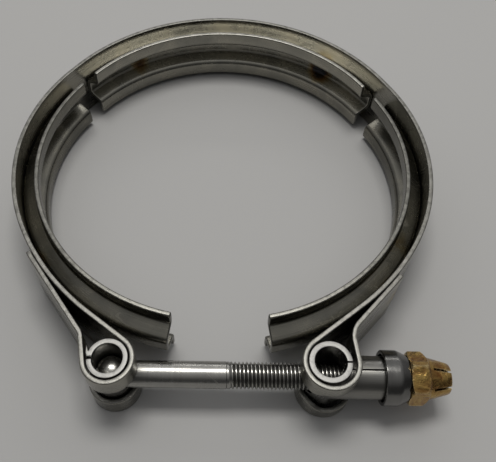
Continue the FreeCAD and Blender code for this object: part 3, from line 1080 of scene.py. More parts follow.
@dataclass
class Strap(Piece):
    """The sprung strap, looped round a trunnion at each end and slotted for the bolt."""

    name: ClassVar[str] = "strap"
    node: ClassVar[str] = "band"
    body: ClassVar[str] = "clamp_ring"
    slot: ClassVar[Slot] = Slot.STRAP

    pins: dict[Side, Point2]
    pin_radii: dict[Side, float]
    width: float
    left_end: StrapEnd = StrapEnd(25.0, 0.727, 0.3, 4.25, 7.40, 12.0, 3.45)
    right_end: StrapEnd = StrapEnd(30.0, 0.434, 0.5, 6.0, 7.19, -6.0, 2.7)
    slot_half: float = 3.5
    slot_reach: float = 2.6
    slot_steps: int = 8
    window_half: float = 5.35
    rails: tuple[float, ...] = (1.0, 0.72, 0.46, 0.22)
    end_spread: float = 9.0
    end_clear: float = 0.45
    edge: EdgeBreak = EdgeBreak(0.30, 3, 50.0)

    def end(self, side: Side) -> StrapEnd:
        """Return the bends of a side's end."""
        return self.left_end if side is Side.LEFT else self.right_end

    def loop_radius(self, side: Side) -> float:
        """Return the middle radius of a loop."""
        return self.pin_radii[side] + self.end(side).clearance + RING.strap_wall / 2

    def bow(self, side: Side) -> tuple[Vector, float]:
        """Return the wider arc by which the strap leaves its retainer, as if on the +X side.

        Args:
            side: Which end of the strap.

        Returns:
            Centre and middle radius of the arc.
        """
        end = self.end(side)
        centre = Vector(RING.centre(side))
        to_pin = Vector((abs(self.pins[side][0]), self.pins[side][1])) - centre
        outward = Vector(polar((0.0, 0.0), 1.0, -end.bow_angle))
        touching = RING.strap_radius + self.loop_radius(side)
        most = (to_pin.length_squared - touching**2) / (2 * (touching - to_pin.dot(outward)))
        rise = most * end.bow_share
        return centre - outward * rise, RING.strap_radius + rise

    def side_line(self, side: Side) -> list[Stretch]:
        """Return one side's stretches from the gap to the tail's end, as if on the +X side.

        Args:
            side: Which end of the strap.

        Returns:
            The stretches.
        """
        end = self.end(side)
        gap = RING.gap(side)
        pin = Vector((abs(self.pins[side][0]), self.pins[side][1]))
        loop = self.loop_radius(side)
        bow_centre, bow_radius = self.bow(side)
        to_pin = pin - bow_centre
        reach = math.degrees(math.acos((bow_radius + loop) / to_pin.length))
        leave = -math.degrees(math.atan2(to_pin.y, to_pin.x)) - reach
        side_arc = Stretch.arc(RING.centre(side), RING.strap_radius, gap, -end.bow_angle)
        bow_arc = Stretch.arc(tuple(bow_centre), bow_radius, -end.bow_angle, -leave)
        wrap = Stretch.arc(tuple(pin), loop, 180 - leave, 360 - end.lean)

        kink = Vector(polar(wrap.end, end.leg_length, 90 - end.lean))
        away = kink - bow_centre
        tail_radius = bow_radius + RING.weld_gap + RING.strap_wall
        lift = math.degrees(math.atan2(away.y, away.x) + math.acos(tail_radius / away.length))
        tail = Stretch.arc(tuple(bow_centre), tail_radius, lift, lift + end.contact)
        corner = rounded_line([(*wrap.end, 0), (*kink, end.kink_bend), (*tail.start, 0)])
        back_end = polar((0.0, 0.0), RING.strap_radius, gap)
        ring = [Stretch(back_end, side_arc.start), side_arc, bow_arc]
        return [*ring, Stretch(bow_arc.end, wrap.start), wrap, *corner, tail]

    def middle_line(self) -> MiddleLine:
        """Join the whole middle line, from the left tail to the right one.

        Returns:
            The strap's middle line.
        """
        right = self.side_line(Side.RIGHT)
        left = [stretch.mirrored() for stretch in self.side_line(Side.LEFT)]
        back = Stretch.arc((0.0, 0.0), RING.strap_radius, 180 - RING.gap(Side.LEFT), RING.gap(Side.RIGHT))
        return MiddleLine([*(stretch.turned() for stretch in reversed(left)), back, *right])

    def _slot_level(self, side: Side, outer: bool, across: float) -> float:
        """Work out how far above the pin a slot's end is.

        Args:
            side: Which end of the strap.
            outer: Whether it is in the leg away from the ring.
            across: Distance from the strap's middle.

        Returns:
            The height above the pin's axis.
        """
        round_end = self.slot_reach + math.sqrt(max(0.0, self.slot_half**2 - across**2))
        if side is Side.RIGHT and outer:
            return max(self.window_half, round_end)
        return round_end

    def _crossing(self, line: MiddleLine, side: Side, outer: bool) -> float:
        """Find where a leg passes the slot's far end.

        Args:
            line: The strap's middle line.
            side: Which end of the strap.
            outer: Whether it is the leg away from the ring.

        Returns:
            The length along the line.
        """
        tries = 40000
        pin = self.pins[side]
        level = pin[1] + self._slot_level(side, outer, 0.0)
        runs = [line.length * index / tries for index in range(tries + 1)]
        found = []
        for low, high in zip(runs, runs[1:]):
            start, end = line.at(low), line.at(high)
            if (start[1] - level) * (end[1] - level) <= 0 and abs(start[0] - pin[0]) < self.end_spread:
                found.append((low, start[0]))
        found.sort(key=lambda item: side.value * item[1])
        return found[-1][0] if outer else found[0][0]

    def _half(self, line: MiddleLine, run: float) -> float:
        """Return the half width of the slot's columns, which widen to the window round the right loop.

        Args:
            line: The strap's middle line.
            run: Length along the line.

        Returns:
            The half width.
        """
        full_within, none_beyond = 12.0, 22.0
        pin = self.pins[Side.RIGHT]
        place = line.at(run)
        away = math.dist(place, pin)
        if run < line.length / 2 or away > none_beyond:
            return self.slot_half
        loop = self.loop_radius(Side.RIGHT)
        near, wide = pin[0] - 0.75 * loop, pin[0] - 0.1 * loop
        past_loop = place[1] < pin[1] or place[0] > pin[0]
        opened = smooth_step((place[0] - near) / (wide - near)) if past_loop else 0.0
        fade = smooth_step((away - full_within) / (none_beyond - full_within))
        return self.slot_half + (self.window_half - self.slot_half) * opened * (1.0 - fade)

    def build(self) -> bpy.types.Object:
        """Build the strap.

        Returns:
            The strap's object.
        """
        line = self.middle_line()
        ends = {(side, outer): self._crossing(line, side, outer) for side in Side for outer in (False, True)}
        stations = line.stations(5.0, 1.5)
        for run in ends.values():
            stations = [station for station in stations if abs(station - run) > self.end_clear] + [run]
        stations.sort()
        quarter = self.slot_steps // 2
        shares = [math.sin(math.pi * index / self.slot_steps) for index in range(-quarter, quarter + 1)]
        rows = []
        for station in stations:
            half = self._half(line, station)
            margin = self.width / 2 - half
            across = [-(half + margin * share) for share in self.rails]
            across += [half * share for share in shares]
            across += [half + margin * share for share in reversed(self.rails)]
            row = []
            for height in across:
                run = station + self._end_shift(line, ends, station, height, half)
                row.append((Vector((*line.at(run), height)), (run, height)))
            rows.append(row)
        spans = [sorted((ends[side, False], ends[side, True])) for side in Side]
        first = len(self.rails)

        def open_cell(row: int, column: int) -> bool:
            """Tell whether a quad lies in a slot.

            Args:
                row: Row of points before the quad.
                column: Column of points before the quad.

            Returns:
                Whether it is left out.
            """
            middle = (stations[row] + stations[row + 1]) / 2
            in_span = any(low < middle < high for low, high in spans)
            return in_span and first <= column < first + self.slot_steps

        return finish_edges(sheet(self.name, rows, RING.strap_wall, open_cell), self.edge)

    def _end_shift(self, line: MiddleLine, ends: dict, station: float, height: float, half: float) -> float:
        """Return how far a point moves along the strap to follow a slot's round end.

        Args:
            line: The strap's middle line.
            ends: Length along the line of each slot end.
            station: Length along the line before the move.
            height: Distance from the strap's middle.
            half: Half width of the slot's columns there.

        Returns:
            The move, positive towards the right tail.
        """
        reach = 0.2
        for (side, outer), run in ends.items():
            away = abs(station - run)
            if away >= self.end_spread:
                continue
            into = 1 if (side is Side.RIGHT) == (not outer) else -1
            steep = abs(line.at(run + reach)[1] - line.at(run - reach)[1]) / (2 * reach)
            depth = self._slot_level(side, outer, 0.0) - self._slot_level(side, outer, min(abs(height), half))
            rail = max(0.0, abs(height) - half) / (self.width / 2 - half)
            return into * depth / steep * (1.0 - away / self.end_spread) * (1.0 - smooth_step(rail))
        return 0.0

    def finishes(self) -> list[bpy.types.Material]:
        """Build the strap's rolled faces and its cut edges.

        Returns:
            The sheet's material and the cut edge's.
        """
        face = SteelFinish(
            "strap_sheet", light=(0.37, 0.36, 0.322), dark=(0.22, 0.215, 0.19), roughness=0.26, lines=1700.0,
            stretch=200.0,
            spots=(
                HeatSpot((-45.2, -32.0, 2.0), 7.0, 0.55),
                HeatSpot((42.6, -39.0, 1.0), 7.0, 0.5),
            ),
        ).build()
        return [face, CutEdgeFinish("strap_cut_edge").build()]


@dataclass
class Retainer(Piece):
    """One hat-section retainer, rolled to the ring with its groove inwards."""

    name: str
    node: str
    arc_centre: Point2
    first: float
    last: float
    wall: float = 1.3
    width: float = 16.5
    mouth: float = 8.34
    depth: float = 4.35
    flank: float = 22.0
    bend: float = 1.25
    dimples: tuple[tuple[float, float], ...] = ()
    dimple_radius: float = 2.6
    dimple_depth: float = 0.14
    # Painted shade: the side retainers are the same steel as the back one, drawn darker at 0.6 as if in less
    # light.
    shade: float = 0.6
    edge: EdgeBreak = EdgeBreak(0.40, 4, 50.0)
    body: ClassVar[str] = "clamp_ring"
    slot: ClassVar[Slot] = Slot.RETAINER

    def section(self) -> MiddleLine:
        """Bend the hat section's middle line, radius along x and height along y.

        Returns:
            The line.
        """
        crest = RING.retainer_radius - self.wall / 2
        foot = crest - self.depth
        half = self.mouth / 2
        crest_half = half - self.depth * math.tan(math.radians(self.flank))
        end = self.width / 2
        return MiddleLine(rounded_line([
            (foot, end, 0), (foot, half, self.bend), (crest, crest_half, self.bend),
            (crest, -crest_half, self.bend), (foot, -half, self.bend), (foot, -end, 0),
        ]))

    def build(self) -> bpy.types.Object:
        """Build the retainer.

        Returns:
            The retainer's object.
        """
        section = self.section()
        across = section.stations(15.0, 1.1)
        step_angle = 1.2
        steps = math.ceil((self.last - self.first) / step_angle)
        rows = []
        for step in range(steps + 1):
            degrees = self.first + (self.last - self.first) * step / steps
            arc_length = math.radians(degrees) * RING.retainer_radius
            places = [(section.at(run), run) for run in across]
            rows.append([(Vector((*polar(self.arc_centre, radius, degrees), height)), (arc_length, run))
                         for (radius, height), run in places])
        piece = sheet(self.name, rows, self.wall)
        self._press_dimples(piece)
        return finish_edges(piece, self.edge)

    def _press_dimples(self, piece: bpy.types.Object) -> None:
        """Press the shallow marks of the spot welds into the crest's inner face.

        Args:
            piece: The retainer's object.
        """
        inner = RING.retainer_radius - self.wall
        face_depth = 0.3
        axis = Vector((*self.arc_centre, 0)) * MM
        for degrees, height in self.dimples:
            middle = Vector((*polar(self.arc_centre, inner, degrees), height)) * MM
            for vertex in piece.data.vertices:
                away = (vertex.co - middle).length / MM
                flat = vertex.co.xy.to_3d() - axis
                if away < self.dimple_radius and abs(flat.length / MM - inner) < face_depth:
                    pressed = self.dimple_depth * MM * smooth_step(1 - away / self.dimple_radius)
                    vertex.co += flat.normalized() * pressed

    def finishes(self) -> list[bpy.types.Material]:
        """Return the retainer's rolled faces and its cut edges, at its painted shade."""
        return retainer_finishes(self.shade)


@lru_cache(maxsize=None)
def retainer_finishes(shade: float) -> list[bpy.types.Material]:
    """Return the sheet and cut edge of the retainers at one painted shade, built once.

    Args:
        shade: How light the steel is painted, 1 for the back retainer; below 1 paints the side retainers'
            shade.

    Returns:
        The sheet's material and the cut edge's.
    """
    # Painted shade: the same steel's colours are scaled down for the side retainers.
    def painted_shade(colour: Colour) -> Colour:
        """Return a colour darkened to this painted shade."""
        return tuple(value * shade for value in colour)

    label = "back" if shade >= 1 else "side"
    face = SteelFinish(
        f"retainer_sheet_{label}", light=painted_shade((0.40, 0.39, 0.345)), dark=painted_shade((0.18, 0.175, 0.152)),
        roughness=0.24, lines=1900.0, stretch=220.0,
        spots=(
            HeatSpot((-28.2, 45.5, -1.2), 7.0, 0.38),
            HeatSpot((32.0, 42.9, -0.6), 5.0, 1.0),
            HeatSpot((46.9, -27.5, 3.2), 14.0, 0.0),
        ),
    ).build()
    edge = CutEdgeFinish(f"retainer_cut_edge_{label}", light=painted_shade((0.36, 0.353, 0.32)),
                         dark=painted_shade((0.20, 0.195, 0.175)), roughness=0.36).build()
    return [face, edge]


@lru_cache(maxsize=1)
def trunnion_finishes() -> list[bpy.types.Material]:
    """Build the materials that both trunnions share, once.

    Returns:
        The sheet's material and the cut edge's.
    """
    face = SteelFinish(
        "trunnion_sheet", light=(0.27, 0.267, 0.255), dark=(0.18, 0.177, 0.168), roughness=0.27, lines=1500.0,
        stretch=12.0, anisotropy=0.1, warm_share=0.2,
    )
    edge = CutEdgeFinish(
        "trunnion_cut_edge", light=(0.37, 0.365, 0.35), dark=(0.17, 0.167, 0.16), roughness=0.50
    )
    return [face.build(), edge.build()]


@dataclass
class Trunnion(Piece):
    """A tube of folded sheet that sits upright in one of the strap's loops."""

    slot: ClassVar[Slot] = Slot.TRUNNION

    pin: Point2
    length: float

    def finishes(self) -> list[bpy.types.Material]:
        """Return the tube's faces and its cut edges."""
        return trunnion_finishes()


@dataclass
class LeftTube(Trunnion):
    """The rolled tube that holds the bolt's head, with one sheet edge turned out into a lip."""

    name: ClassVar[str] = "left_pin_tube"
    node: ClassVar[str] = "trunnion_left"
    body: ClassVar[str] = "bolt"

    radius: float = 4.65
    wall: float = 1.15
    split: float = 4.0
    mouth: float = 3.275
    lip_heel: float = 162.0
    lip_rise: float = 0.35
    edge: EdgeBreak = EdgeBreak(0.12, 3, 45.0)

    def build(self) -> bpy.types.Object:
        """Build the tube.

        Returns:
            The tube's object.
        """
        middle = self.radius - self.wall / 2
        line = MiddleLine([Stretch.arc(self.pin, middle, self.split - 180, 180 - self.split)])
        levels = 16
        heights = [self.length * (level / levels - 0.5) for level in range(levels + 1)]
        rows = [[(Vector((*line.at(run), height)), (run, height)) for height in heights]
                for run in line.stations(5.0, 1.0)]
        piece = sheet(self.name, rows, self.wall)
        combine(piece, self._lip(), Join.ADD)
        past = self.radius + 2
        bore = [(0, 0), (0, self.mouth), (past, self.mouth), (past, 0)]
        combine(piece, lathe("mouth", bore, Vector((*self.pin, 0)), ALONG_X, 48), Join.CUT)
        return finish_edges(piece, self.edge)

    def _lip(self) -> bpy.types.Object:
        """Build the turned-out lip, sunk a little into the tube.

        Returns:
            The lip as a solid.
        """
        radius, sunk = self.radius, self.radius - 0.1
        root = polar((0, 0), sunk, 180 - self.split)
        heel = polar((0, 0), sunk, self.lip_heel)
        face = -radius - self.lip_rise
        inside = root[0] + self.wall * 0.7, root[1] + 0.02
        outline = [inside, root, (face, radius * 0.25), (face, radius * 0.7), heel]
        base = [Vector((self.pin[0] + x, self.pin[1] + y, -self.length / 2)) for x, y in outline]
        return prism("lip", base, Vector((0, 0, self.length)))


@dataclass
class RightTube(Trunnion):
    """The folded sheet that is a tube in the loop and runs out into a split sleeve."""

    name: ClassVar[str] = "right_pin_sleeve"
    node: ClassVar[str] = "trunnion_right"
    body: ClassVar[str] = "right_trunnion"

    sleeve_length: float
    radius: float = 4.95
    wall: float = 1.4
    sleeve_radius: float = 5.0
    way: float = 3.695
    seam: float = 0.36
    draw: ClassVar[float] = 0.35
    rim: float = 0.22
    edge: EdgeBreak = EdgeBreak(0.06, 1, 55.0)

    def build(self) -> bpy.types.Object:
        """Build the tube and its sleeve.

        Returns:
            The object.
        """
        middle = Vector((*self.pin, 0))
        half, steps, sleeve_steps = self.length / 2, 72, 70
        piece = lathe(self.name, self._bar(-half, half, self.radius), middle, UPRIGHT, steps)
        sleeve = self._bar(0, self.sleeve_length, self.sleeve_radius)
        combine(piece, lathe("sleeve", sleeve, middle, ALONG_X, sleeve_steps), Join.ADD)
        # The hollow is made whole before it is taken away, which keeps the walls closed.
        reach, past = self.sleeve_length + 0.7, self.sleeve_length + 1.2
        way = [(-reach, 0.0), (-reach, self.way), (reach, self.way), (reach, 0.0)]
        hollow = lathe("hollow", self._bore(half, self.radius - self.wall), middle, UPRIGHT, steps)
        combine(hollow, lathe("way", way, middle, ALONG_X, sleeve_steps), Join.ADD)
        cut, over = self.seam / 2, 1.5
        corners = ((0, -cut), (past, -cut), (past, cut), (0, cut))
        outline = [middle + Vector((x, y, -half - over)) for x, y in corners]
        combine(hollow, prism("seam", outline, Vector((0, 0, self.length + 2 * over))), Join.ADD)
        combine(piece, hollow, Join.CUT)
        flat, near = 0.95, 0.05
        for face in piece.data.polygons:
            at_rim = abs(face.normal.z) > flat and abs(face.center.z) > (half - near) * MM
            at_mouth = face.normal.x > flat and face.center.x > (self.pin[0] + self.sleeve_length - near) * MM
            face.material_index = int(at_rim or at_mouth)
        return finish_edges(piece, self.edge)

    def _round(self, start: float, radius: float, way: int) -> list[Point2]:
        """Return the round edge at the start of a tube, from its end face to its wall.

        Args:
            start: Where the tube starts along its axis.
            radius: Radius of the wall.
            way: 1 where the edge turns in to the wall from outside the bore, -1 from outside the tube.

        Returns:
            Distance along the axis and radius of each point.
        """
        turns = [math.radians(angle) for angle in (90, 67.5, 45, 22.5, 0)]
        return [(start + self.rim * (1 - math.sin(turn)), radius + way * self.rim * (1 - math.cos(turn)))
                for turn in turns]

    def _bar(self, start: float, end: float, radius: float) -> list[Point2]:
        """Return the profile of a bar whose end edges are rounded.

        Args:
            start: Where the bar starts along its axis.
            end: Where it ends.
            radius: Radius of the bar.

        Returns:
            Distance along the axis and radius of each point.
        """
        near = self._round(start, radius, -1)
        far = [(end - (along - start), height) for along, height in reversed(near)]
        return [(start, 0.0), *near, *far, (end, 0.0)]

    def _bore(self, half: float, radius: float) -> list[Point2]:
        """Return the profile of a bore that opens out in a round edge at both ends.

        Args:
            half: Half the tube's length.
            radius: Radius of the bore.

        Returns:
            Distance along the axis and radius of each point.
        """
        over = half + 1.0
        near = [(-over, 0.0), (-over, radius + self.rim), *self._round(-half, radius, 1)]
        return near + [(-along, height) for along, height in reversed(near)]


@dataclass
class TeeBolt(Piece):
    """The T-bolt: a domed barrel head across a shank with a real helical thread."""

    name: ClassVar[str] = "tee_bolt"
    node: ClassVar[str] = "t_bolt"
    body: ClassVar[str] = "bolt"
    slot: ClassVar[Slot] = Slot.BOLT

    pin: Point2
    tip: float
    head_radius: float = 3.45
    head_straight: float = 2.8
    head_dome: float = 1.7
    shank: float = 3.175
    crest: float = 3.15
    root: float = 2.62
    pitch: float = 0.907
    thread_length: float = 51.3
    steps: int = 72
    thread_steps: int = 32

    def build(self) -> bpy.types.Object:
        """Build the bolt.

        Returns:
            The bolt's object.
        """
        middle = Vector((*self.pin, 0))
        straight, dome, cap_steps = self.head_straight, self.head_dome, 10
        ball = (self.head_radius**2 + dome**2) / (2 * dome)
        low = math.asin((ball - dome) / ball)
        angles = [low + (math.pi / 2 - low) * index / cap_steps for index in range(cap_steps)]
        cap = [(straight + dome - ball + ball * math.sin(angle), ball * math.cos(angle)) for angle in angles]
        cap.append((straight + dome, 0.0))
        profile = [(-along, radius) for along, radius in reversed(cap)] + cap
        piece = lathe(self.name, profile, middle, UPRIGHT, self.steps)
        start = self.tip - self.thread_length
        length = start - self.pin[0]
        shank = [(0.0, 0.0), (0.0, self.shank), (length * 0.5, self.shank), (length - 0.25, self.shank),
                 (length + 0.1, self.shank - 0.28), (length + 0.1, 0.0)]
        combine(piece, lathe("shank", shank, middle, ALONG_X, self.steps), Join.ADD)
        combine(piece, self._thread(start), Join.ADD)
        mend(piece.data, fill=True)
        return finish_edges(piece, smooth=42.0)

    def _thread(self, start: float) -> bpy.types.Object:
        """Return the threaded part as a closed solid.

        Args:
            start: Where the thread starts along X.

        Returns:
            The thread's object.
        """
        profile = [(0.0, self.root), (0.12, self.root), (0.46, self.crest), (0.64, self.crest)]
        steps, columns = self.thread_steps, len(profile)
        rows = (math.ceil(self.thread_length / self.pitch) + 1) * steps + 1
        least = self.root - 0.3
        points, layout = [], []
        for row in range(rows):
            angle = 2 * math.pi * row / steps
            for share, radius in profile:
                along = start - self.pitch * 0.5 + (row / steps + share) * self.pitch
                chamfer = self.crest - 0.75 + (self.tip - along) * 0.9
                lead_in = self.crest - (self.crest - radius) * smooth_step((along - start) / (2 * self.pitch))
                radius = max(least, min(lead_in, chamfer))
                along = min(self.tip, max(start, along))
                aside, up = radius * math.cos(angle), radius * math.sin(angle)
                points.append(Vector((along, self.pin[1] + aside, up)))
                layout.append((along, angle * self.crest))
        faces = grid_faces(rows, columns)
        for row in range(rows - 1 - steps):
            here, there = row * columns + columns - 1, (row + steps) * columns
            faces.append([here, there, there + columns, here + columns])
        mesh = mend(mesh_from("thread", points, faces, layout), SAME_THREAD_POINT, slivers=True, fill=True)
        return new_object("thread", mesh)

    def finishes(self) -> list[bpy.types.Material]:
        """Build the bolt's material.

        Returns:
            The material.
        """
        # The thread roots are painted dark: partly dirt, partly painted shade between the turns.
        return [SteelFinish("drawn_rod", light=(0.38, 0.375, 0.355), dark=(0.29, 0.285, 0.27), roughness=0.24,
                            grain_height=0.0000015, grime_and_shade=0.9, grain=Layout.ROUND_AXIS, lines=1400.0,
                            stretch=40.0, anisotropy=0.0, warm_share=0.1).build()]


@dataclass
class NutCollar(Piece):
    """The drawn cup that closes over the sleeve's end and takes the nut."""

    name: ClassVar[str] = "nut_cup"
    node: ClassVar[str] = "collar"
    body: ClassVar[str] = "collar"
    slot: ClassVar[Slot] = Slot.COLLAR

    start: Vector
    end: float
    radius: float = 6.4
    wall: float = 0.9
    base: float = 1.5
    soft_length: float = 2.4
    soft_depth: float = 1.1
    hole: float = 3.475

    def build(self) -> bpy.types.Object:
        """Build the cup.

        Returns:
            The cup's object.
        """
        length = self.end - self.start.x
        floor = length - self.base
        inner = self.radius - self.wall
        profile = self._rounded([
            (0.0, inner, 0.28), (0.0, self.radius, 0.30), (length - self.soft_length, self.radius, 2.0),
            (length, self.radius - self.soft_depth, 0.6), (length, self.hole, 0.25), (floor, self.hole, 0.12),
            (floor, inner, 0.5),
        ])
        return finish_edges(lathe(self.name, profile, self.start, ALONG_X, 96), smooth=50.0)

    @staticmethod
    def _rounded(corners: Sequence[tuple[float, float, float]]) -> list[Point2]:
        """Bend each corner of a closed profile to its radius.

        Args:
            corners: (along, radius, bend) of each corner.

        Returns:
            The profile, its first point again at its end.
        """
        steps = 6
        found: list[Point2] = []
        for before, corner, after in zip([corners[-1], *corners], corners, [*corners[1:], corners[0]]):
            bend = rounded_line([(*before[:2], 0), corner, (*after[:2], 0)])[1]
            found += [bend.at(step / steps) for step in range(steps + 1)]
        return [*found, found[0]]

    def finishes(self) -> list[bpy.types.Material]:
        """Build the cup's material.

        Returns:
            The material.
        """
        return [SteelFinish("dark_cup", light=(0.21, 0.207, 0.20), dark=(0.11, 0.108, 0.104), roughness=0.20,
                            grain=Layout.ROUND_AXIS, lines=1800.0, stretch=30.0, anisotropy=0.15,
                            warm_share=0.1).build()]


@dataclass
class CrownNut(Piece):
    """The lock nut: a short hex with a slotted tapered crown."""

    name: ClassVar[str] = "crown_nut"
    node: ClassVar[str] = "lock_nut"
    body: ClassVar[str] = "lock_nut"
    slot: ClassVar[Slot] = Slot.NUT

    seat: Vector
    turned: float = -6.6
    flats: float = 10.7
    hex_length: float = 3.6
    crown_start: float = 4.55
    crown_base: float = 4.9
    crown_tip: float = 3.53
    length: float = 9.65
    bore: float = 3.21
    slot_width: float = 0.6
    slot_start: float = 5.3

    def build(self) -> bpy.types.Object:
        """Build the nut.

        Returns:
            The nut's object.
        """
        steps = 96
        points = []
        for step in range(steps):
            angle = 2 * math.pi * step / steps
            profile = self._profile(angle)
            angle += math.radians(self.turned)
            points += [self.seat + Vector((along, radius * math.cos(angle), radius * math.sin(angle)))
                       for along, radius in profile]
        columns = len(profile)
        faces = grid_faces(steps, columns, closed=True)
        for step in range(steps):
            here, after = step * columns, (step + 1) % steps * columns
            faces.append([here + columns - 1, here, after, after + columns - 1])
        piece = new_object(self.name, mend(mesh_from(self.name, points, faces)))
        for index in range(3):
            combine(piece, self._slot_cutter(60.0 * index + self.turned), Join.CUT)
        return finish_edges(piece, smooth=28.0)

    def _profile(self, angle: float) -> list[Point2]:
        """Return the nut's outline from the seat's bore over the hexagon and the crown back into the bore.

        Args:
            angle: Where it is cut, in radians from the middle of a flat.

        Returns:
            Distance along the axis and radius of each point.
        """
        side = math.radians(60)
        turn = (angle - side / 2) % side - side / 2
        flat, corner, length, soft = self.flats / 2, self.flats / math.sqrt(3), self.length, 0.12
        rim = flat / math.cos(turn)
        seat = (rim - flat) * math.tan(math.radians(30))
        fall = (self.crown_start - self.hex_length) / (corner - self.crown_base)
        crown = self.hex_length + (corner - rim) * fall
        taper = length - self.crown_start
        slope = (self.crown_base - self.crown_tip) / taper
        return [
            (0.0, self.bore + 0.35), (0.0, flat - 0.05), (seat, rim - 0.02), (seat + soft, rim),
            *((seat + (crown - seat) * share, rim) for share in (0.35, 0.65)),
            (crown - 0.1, rim), (crown + 0.04, rim - 0.06), (self.crown_start, self.crown_base + 0.04),
            (self.crown_start + soft, self.crown_base),
            *((self.crown_start + taper * share, self.crown_base - slope * taper * share)
              for share in (0.15, 0.35, 0.55, 0.75, 0.9)),
            (length - soft, self.crown_tip - 0.02), (length, self.crown_tip - 0.16),
            (length, self.bore + 0.1), (length - 0.15, self.bore), (0.3, self.bore),
        ]

    def _slot_cutter(self, degrees: float) -> bpy.types.Object:
        """Return the bar that saws two opposite crown slots.

        Args:
            degrees: How far the bar is turned about the nut's axis.

        Returns:
            The bar's object.
        """
        half, reach, past = self.slot_width / 2, self.crown_base + 2, self.length + 1
        turn = Matrix.Rotation(math.radians(degrees), 3, "X")
        corners = ((self.slot_start, -half), (past, -half), (past, half), (self.slot_start, half))
        outline = [self.seat + turn @ Vector((x, y, -reach)) for x, y in corners]
        return prism("saw", outline, turn @ Vector((0, 0, 2 * reach)))

    def finishes(self) -> list[bpy.types.Material]:
        """Return the nut's material."""
        return [BrassFinish().build()]


# ---------------------------------------------------------------- studio
@dataclass
class Studio:
    """Pale floor, soft light from above, and the camera."""

    floor_level: float
    floor_colour: Colour = (0.42, 0.417, 0.412)
    floor_reach: float = 1.6
    lamp_colour: Colour = (1.0, 0.985, 0.95)
    eye: tuple[float, float, float] = (-0.1315, -115.175, 141.617)
    pitch: float = 55.109
    turn: float = 0.756
    roll: float = 0.24
    lens: float = 45.22
    shift: tuple[float, float] = (0.0634, -0.0350)

    def build(self) -> None:
        """Build the floor, the light, the world and the camera."""
        self._floor()
        self._light()
        self._world()
        self._camera()

    def _floor(self) -> None:
        """Build the floor."""
        mesh = bpy.data.meshes.new("floor")
        corners = ((-1, -1), (1, -1), (1, 1), (-1, 1))
        points = [(x * self.floor_reach, y * self.floor_reach, self.floor_level) for x, y in corners]
        mesh.from_pydata(points, [], [(0, 1, 2, 3)])
        floor = new_object("floor", mesh)
        material = bpy.data.materials.new("floor_matt")
        material.use_nodes = True
        shader = material.node_tree.nodes["Principled BSDF"]
        shader.inputs["Base Color"].default_value = (*self.floor_colour, 1.0)
        shader.inputs["Roughness"].default_value = 0.9
        shader.inputs["Specular IOR Level"].default_value = 0.15
        mesh.materials.append(material)

    def _light(self) -> None:
        """Hang a soft panel over the clamp and a low narrow one behind it."""
        self._panel("soft_panel", (0.0, 0.19, 0.88), (0.42, 0.24), 4.3)
        self._panel("low_strip", (0.0, 0.80, 0.42), (0.9, 0.05), 0.55)

    def _panel(
        self, name: str, place: tuple[float, float, float], size: tuple[float, float], watts: float
    ) -> None:
        """Hang one panel, turned to the clamp.

        Args:
            name: Name of the lamp.
            place: Its middle, in metres.
            size: Its sides, in metres.
            watts: Its strength.
        """
        lamp = bpy.data.lights.new(name, "AREA")
        lamp.shape = "RECTANGLE"
        lamp.size, lamp.size_y = size
        lamp.energy = watts
        lamp.color = self.lamp_colour
        panel = new_object(name, lamp)
        panel.location = place
        panel.rotation_euler = (-panel.location).to_track_quat("-Z", "Y").to_euler()

    def _world(self) -> None:
        """Give the room an even light that is dimmer towards the horizon and the sides."""
        world = bpy.data.worlds.new("room")
        world.use_nodes = True
        bpy.context.scene.world = world
        tree = Tree(world.node_tree)
        back = world.node_tree.nodes["Background"]
        generated = tree.node("ShaderNodeTexCoord").outputs["Generated"]
        way = tree.node("ShaderNodeSeparateXYZ", {0: generated}).outputs
        high = tree.total(0.0, (way[2], 0.85), (way[1], 0.55), (tree.math("ABSOLUTE", way[0]), -0.3))
        bounds = {"From Min": -0.1, "From Max": 0.95, "To Min": 0.07, "To Max": 0.62}
        level = tree.node("ShaderNodeMapRange", {"Value": high, **bounds}).outputs[0]
        world.node_tree.links.new(level, back.inputs["Color"])
        back.inputs["Strength"].default_value = 1.0

    def _camera(self) -> None:
        """Place the camera."""
        pitch, turn, roll = (math.radians(value) for value in (self.pitch, self.turn, self.roll))
        back = Vector((math.sin(turn) * math.cos(pitch), -math.cos(turn) * math.cos(pitch), math.sin(pitch)))
        right = Vector((math.cos(turn), math.sin(turn), 0.0))
        over = back.cross(right)
        across = right * math.cos(roll) + over * math.sin(roll)
        upward = over * math.cos(roll) - right * math.sin(roll)
        data = bpy.data.cameras.new("camera")
        data.sensor_width = 36.0
        data.lens = self.lens
        data.shift_x, data.shift_y = self.shift
        data.clip_start = 0.01
        data.clip_end = 10.0
        camera = new_object("camera", data)
        turned = Matrix((across, upward, back)).transposed().to_4x4()
        camera.matrix_world = Matrix.Translation(Vector(self.eye) * MM) @ turned
        bpy.context.scene.camera = camera


# ---------------------------------------------------------------- assembly
def cad_box(node: str) -> tuple[Vector, Vector]:
    """Return a CAD node's lowest and highest corners in millimetres."""
    low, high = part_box(node)
    return low / MM, high / MM


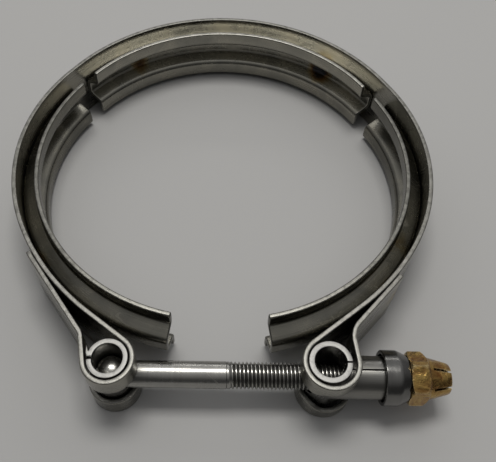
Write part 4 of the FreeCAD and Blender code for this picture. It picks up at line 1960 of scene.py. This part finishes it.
def clamp_pieces() -> list[Piece]:
    """Work out where each piece goes from the CAD boxes.

    Returns:
        The pieces, ready to build.
    """
    left_low, left_high = cad_box("trunnion_left")
    right_low, right_high = cad_box("trunnion_right")
    band_low, band_high = cad_box("band")
    collar_low, collar_high = cad_box("collar")
    nut_low = cad_box("lock_nut")[0]
    bolt_high = cad_box("t_bolt")[1]
    left_radius, right_radius = LeftTube.radius, RightTube.radius
    left_pin = left_high.x - left_radius, (left_low.y + left_high.y) / 2
    right_pin = right_low.x + right_radius, (right_low.y + right_high.y) / 2
    right_gap, left_gap = RING.gap(Side.RIGHT), 180 - RING.gap(Side.LEFT)
    left_centre, right_centre = RING.centre(Side.LEFT), RING.centre(Side.RIGHT)
    half, front = RING.gap_half, RING.front_angle
    axis = Vector((0, right_pin[1], 0))
    return [
        Strap(
            pins={Side.LEFT: left_pin, Side.RIGHT: (right_pin[0] + RightTube.draw, right_pin[1])},
            pin_radii={Side.LEFT: left_radius, Side.RIGHT: right_radius},
            width=band_high.z - band_low.z,
        ),
        Retainer("back_retainer", "retainer_back", (0.0, 0.0), right_gap + half, left_gap - half,
                 dimples=((121.75, -1.2), (53.25, -0.6), (87.0, 0.0)), shade=1.0),
        Retainer("right_retainer", "retainer_right", right_centre, -front, right_gap - half,
                 dimples=((-14.0, 0.0), (-52.0, 0.0))),
        Retainer("left_retainer", "retainer_left", (-left_centre[0], left_centre[1]), left_gap + half,
                 180 + front, dimples=((194.0, 0.0), (232.0, 0.0))),
        LeftTube(pin=left_pin, length=left_high.z - left_low.z),
        RightTube(pin=right_pin, length=right_high.z - right_low.z,
                  sleeve_length=right_high.x - right_pin[0]),
        TeeBolt(pin=left_pin, tip=bolt_high.x),
        NutCollar(start=Vector((collar_low.x, axis.y, 0)), end=collar_high.x),
        CrownNut(seat=Vector((nut_low.x, axis.y, 0))),
    ]


def main() -> None:
    """Build the studio and every piece of the clamp."""
    logging.basicConfig(level=logging.INFO, format="%(message)s")
    bpy.context.scene.view_settings.view_transform = "Standard"
    Studio(floor_level=CAD_BOX[0].z).build()
    for piece in clamp_pieces():
        piece.place()


if __name__ == "__main__":
    main()
